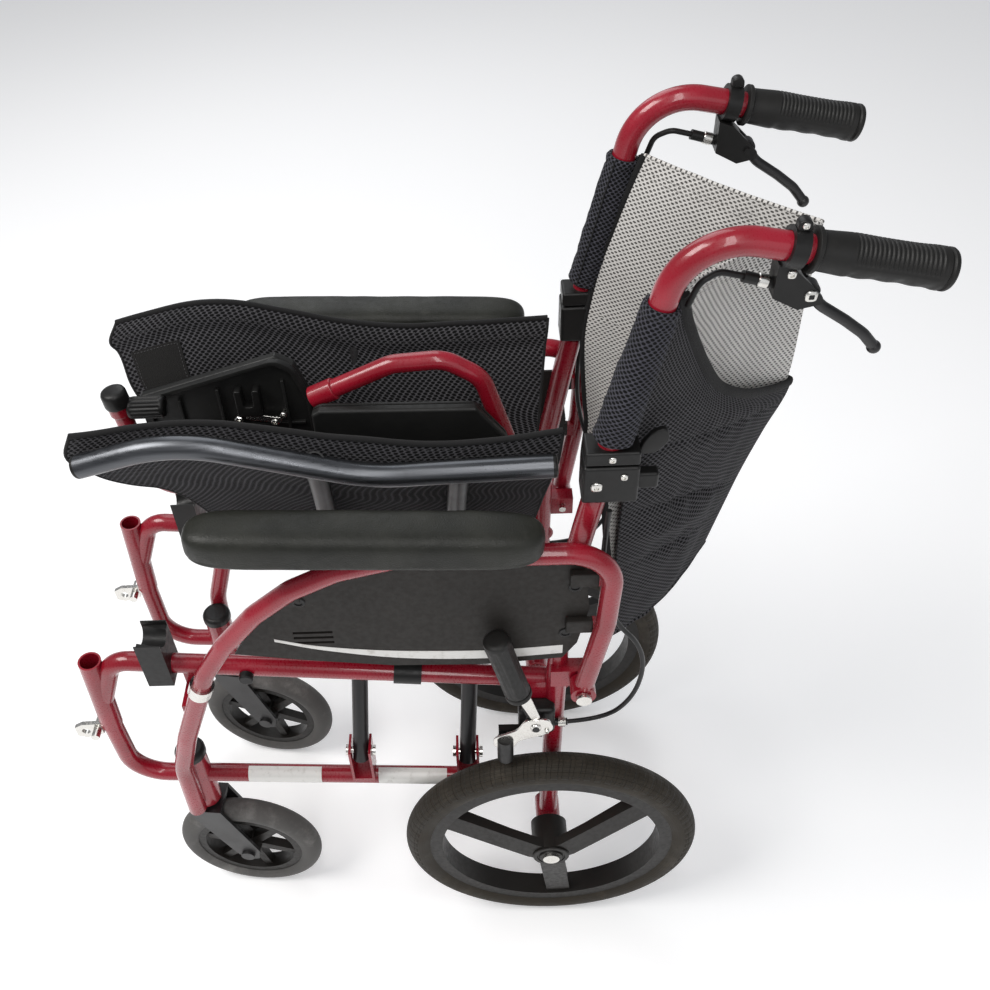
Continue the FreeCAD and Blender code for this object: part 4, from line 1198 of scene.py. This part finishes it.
def footrest_details():
    """Cap, adjuster knob, clips, rims and bolts of the two stowed footrests."""
    up = Vector((0, -10, 124)).normalized()
    cap = [(0, 11.1), (0.3, 12.4), (2, 12.8), (13.5, 12.6), (16, 11.6), (17.3, 9.4), (17.8, 5)]
    cap += [(17.9, 0.5)]
    cap_at = Vector((0, -420, 781)) - up * 11
    fix(lathe("hanger_cap", cap_at, up, cap, PLASTIC, 48), "footrest_1")
    knob = [(0, 7), (0, 9.6), (1.4, 10.6), (3, 10.8)] + [(3 + 1.5 * k, 10.6) for k in range(1, 21)]
    knob += [(34, 10.4), (35.4, 9.4), (36, 7.4), (35, 6.8), (35, 0.5)]
    knurl = flutes(0.6, 20, 3, 33)
    fix(lathe("hanger_knob", (0, -409.5, 765), (0, 1, 0), knob, PLASTIC, 60, knurl), "footrest_1")
    corners = [(-398, 652), (-402, 766), (-262, 808), (-245, 798), (-232, 757), (-232, 652)]
    fix(ring_plate("plate_rim_1", corners, 8, 9, -15.2, -8.6), "footplate_1")
    ribs = ((-363, 665, 762), (-323, 665, 774), (-258, 672, 782))
    for n, (y, low, high) in enumerate(ribs):
        rib = bar(y - 1.6, low, y + 1.6, high)
        fix(plate("plate_rib_1_%d" % n, rib, 0, -15, -10.2, PLATE, 0.5), "footplate_1")
    for n, z in enumerate((695, 728)):
        rib = bar(-388, z - 1.5, -242, z + 1.5)
        fix(plate("plate_cross_rib_1_%d" % n, rib, 0, -15, -10.8, PLATE, 0.5), "footplate_1")
    clip = [(-306, 744), (-306, 776), (-299, 776), (-298, 756), (-289, 756), (-288, 776), (-281, 776)]
    clip += [(-281, 744)]
    fix(plate("plate_clip", clip, 3, -15, -3.5, PLASTIC, 1), "footplate_1")
    for n, (y, z, r) in enumerate(((-307, 738, 4.6), (-272, 733, 4), (-262, 742, 3.2))):
        stud = [(0, r * 0.6), (4.5, r * 0.6), (4.5, r), (8, r), (8.8, r * 0.8), (8.8, r * 0.45)]
        stud += [(6.6, r * 0.4), (6.6, 0.2)]
        bolt = lathe("plate_bolt_%d" % n, (-14.8, y, z), (1, 0, 0), stud, STEEL, 32 if n else 6)
        fix(bolt, "footplate_1")
    strap = [(-300, 738), (-266, 731), (-264, 738), (-299, 745)]
    fix(plate("plate_catch", strap, 2.5, -9.5, -7.6, STEEL, 0.4), "footplate_1")
    corners = [(-228, 652), (-228, 768), (-220, 773), (-72, 769), (-42, 728), (-42, 652)]
    fix(ring_plate("plate_rim_2", corners, 6, 8, 14.2, 17.4), "footplate_2")
    for n, y in enumerate((-190, -150, -112, -74)):
        rib = bar(y - 1.6, 665, y + 1.6, 762)
        fix(plate("plate_rib_2_%d" % n, rib, 0, 14.6, 17.3, PLATE, 0.5), "footplate_2")


# ---------------------------------------------------------------- hand brake cables

CABLE_RADIUS = 0.0025
CABLE_ROUTE = [  # from the parking brake's nozzle, out past the post and up into the back's folding hinge
    (133.8, 16.2, 404.5), (133.6, 56, 408), (133, 84, 444), (132, 93, 498),
    (132, 84, 540), (132, 60, 572), (132.5, 47, 610), (133, 38, 668),
    (133, 42, 736),
]


def brake_cable(side, name):
    curve = bpy.data.curves.new("brake_cable_sheath_" + name, "CURVE")
    curve.dimensions = "3D"
    line = curve.splines.new("NURBS")
    line.points.add(len(CABLE_ROUTE) - 1)
    for point, (x, y, z) in zip(line.points, CABLE_ROUTE):
        point.co = (*P(side * x, y, z), 1)
    line.order_u = 3
    line.use_endpoint_u = True
    line.resolution_u = 16
    curve.bevel_depth = CABLE_RADIUS
    curve.bevel_resolution = 6
    curve.use_fill_caps = True
    curve.materials.append(CABLE)
    sheath = placed(curve.name, curve)
    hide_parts("brake_cable_" + name)
    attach(sheath, name + "_frame")
    x, y, z = CABLE_ROUTE[0]


for side, name in SIDES:
    brake_cable(side, name)
    sleeve(side, name)
    grip(side, name)
    arm_pad(side, name)
    side_details(side, name)
footrest_details()
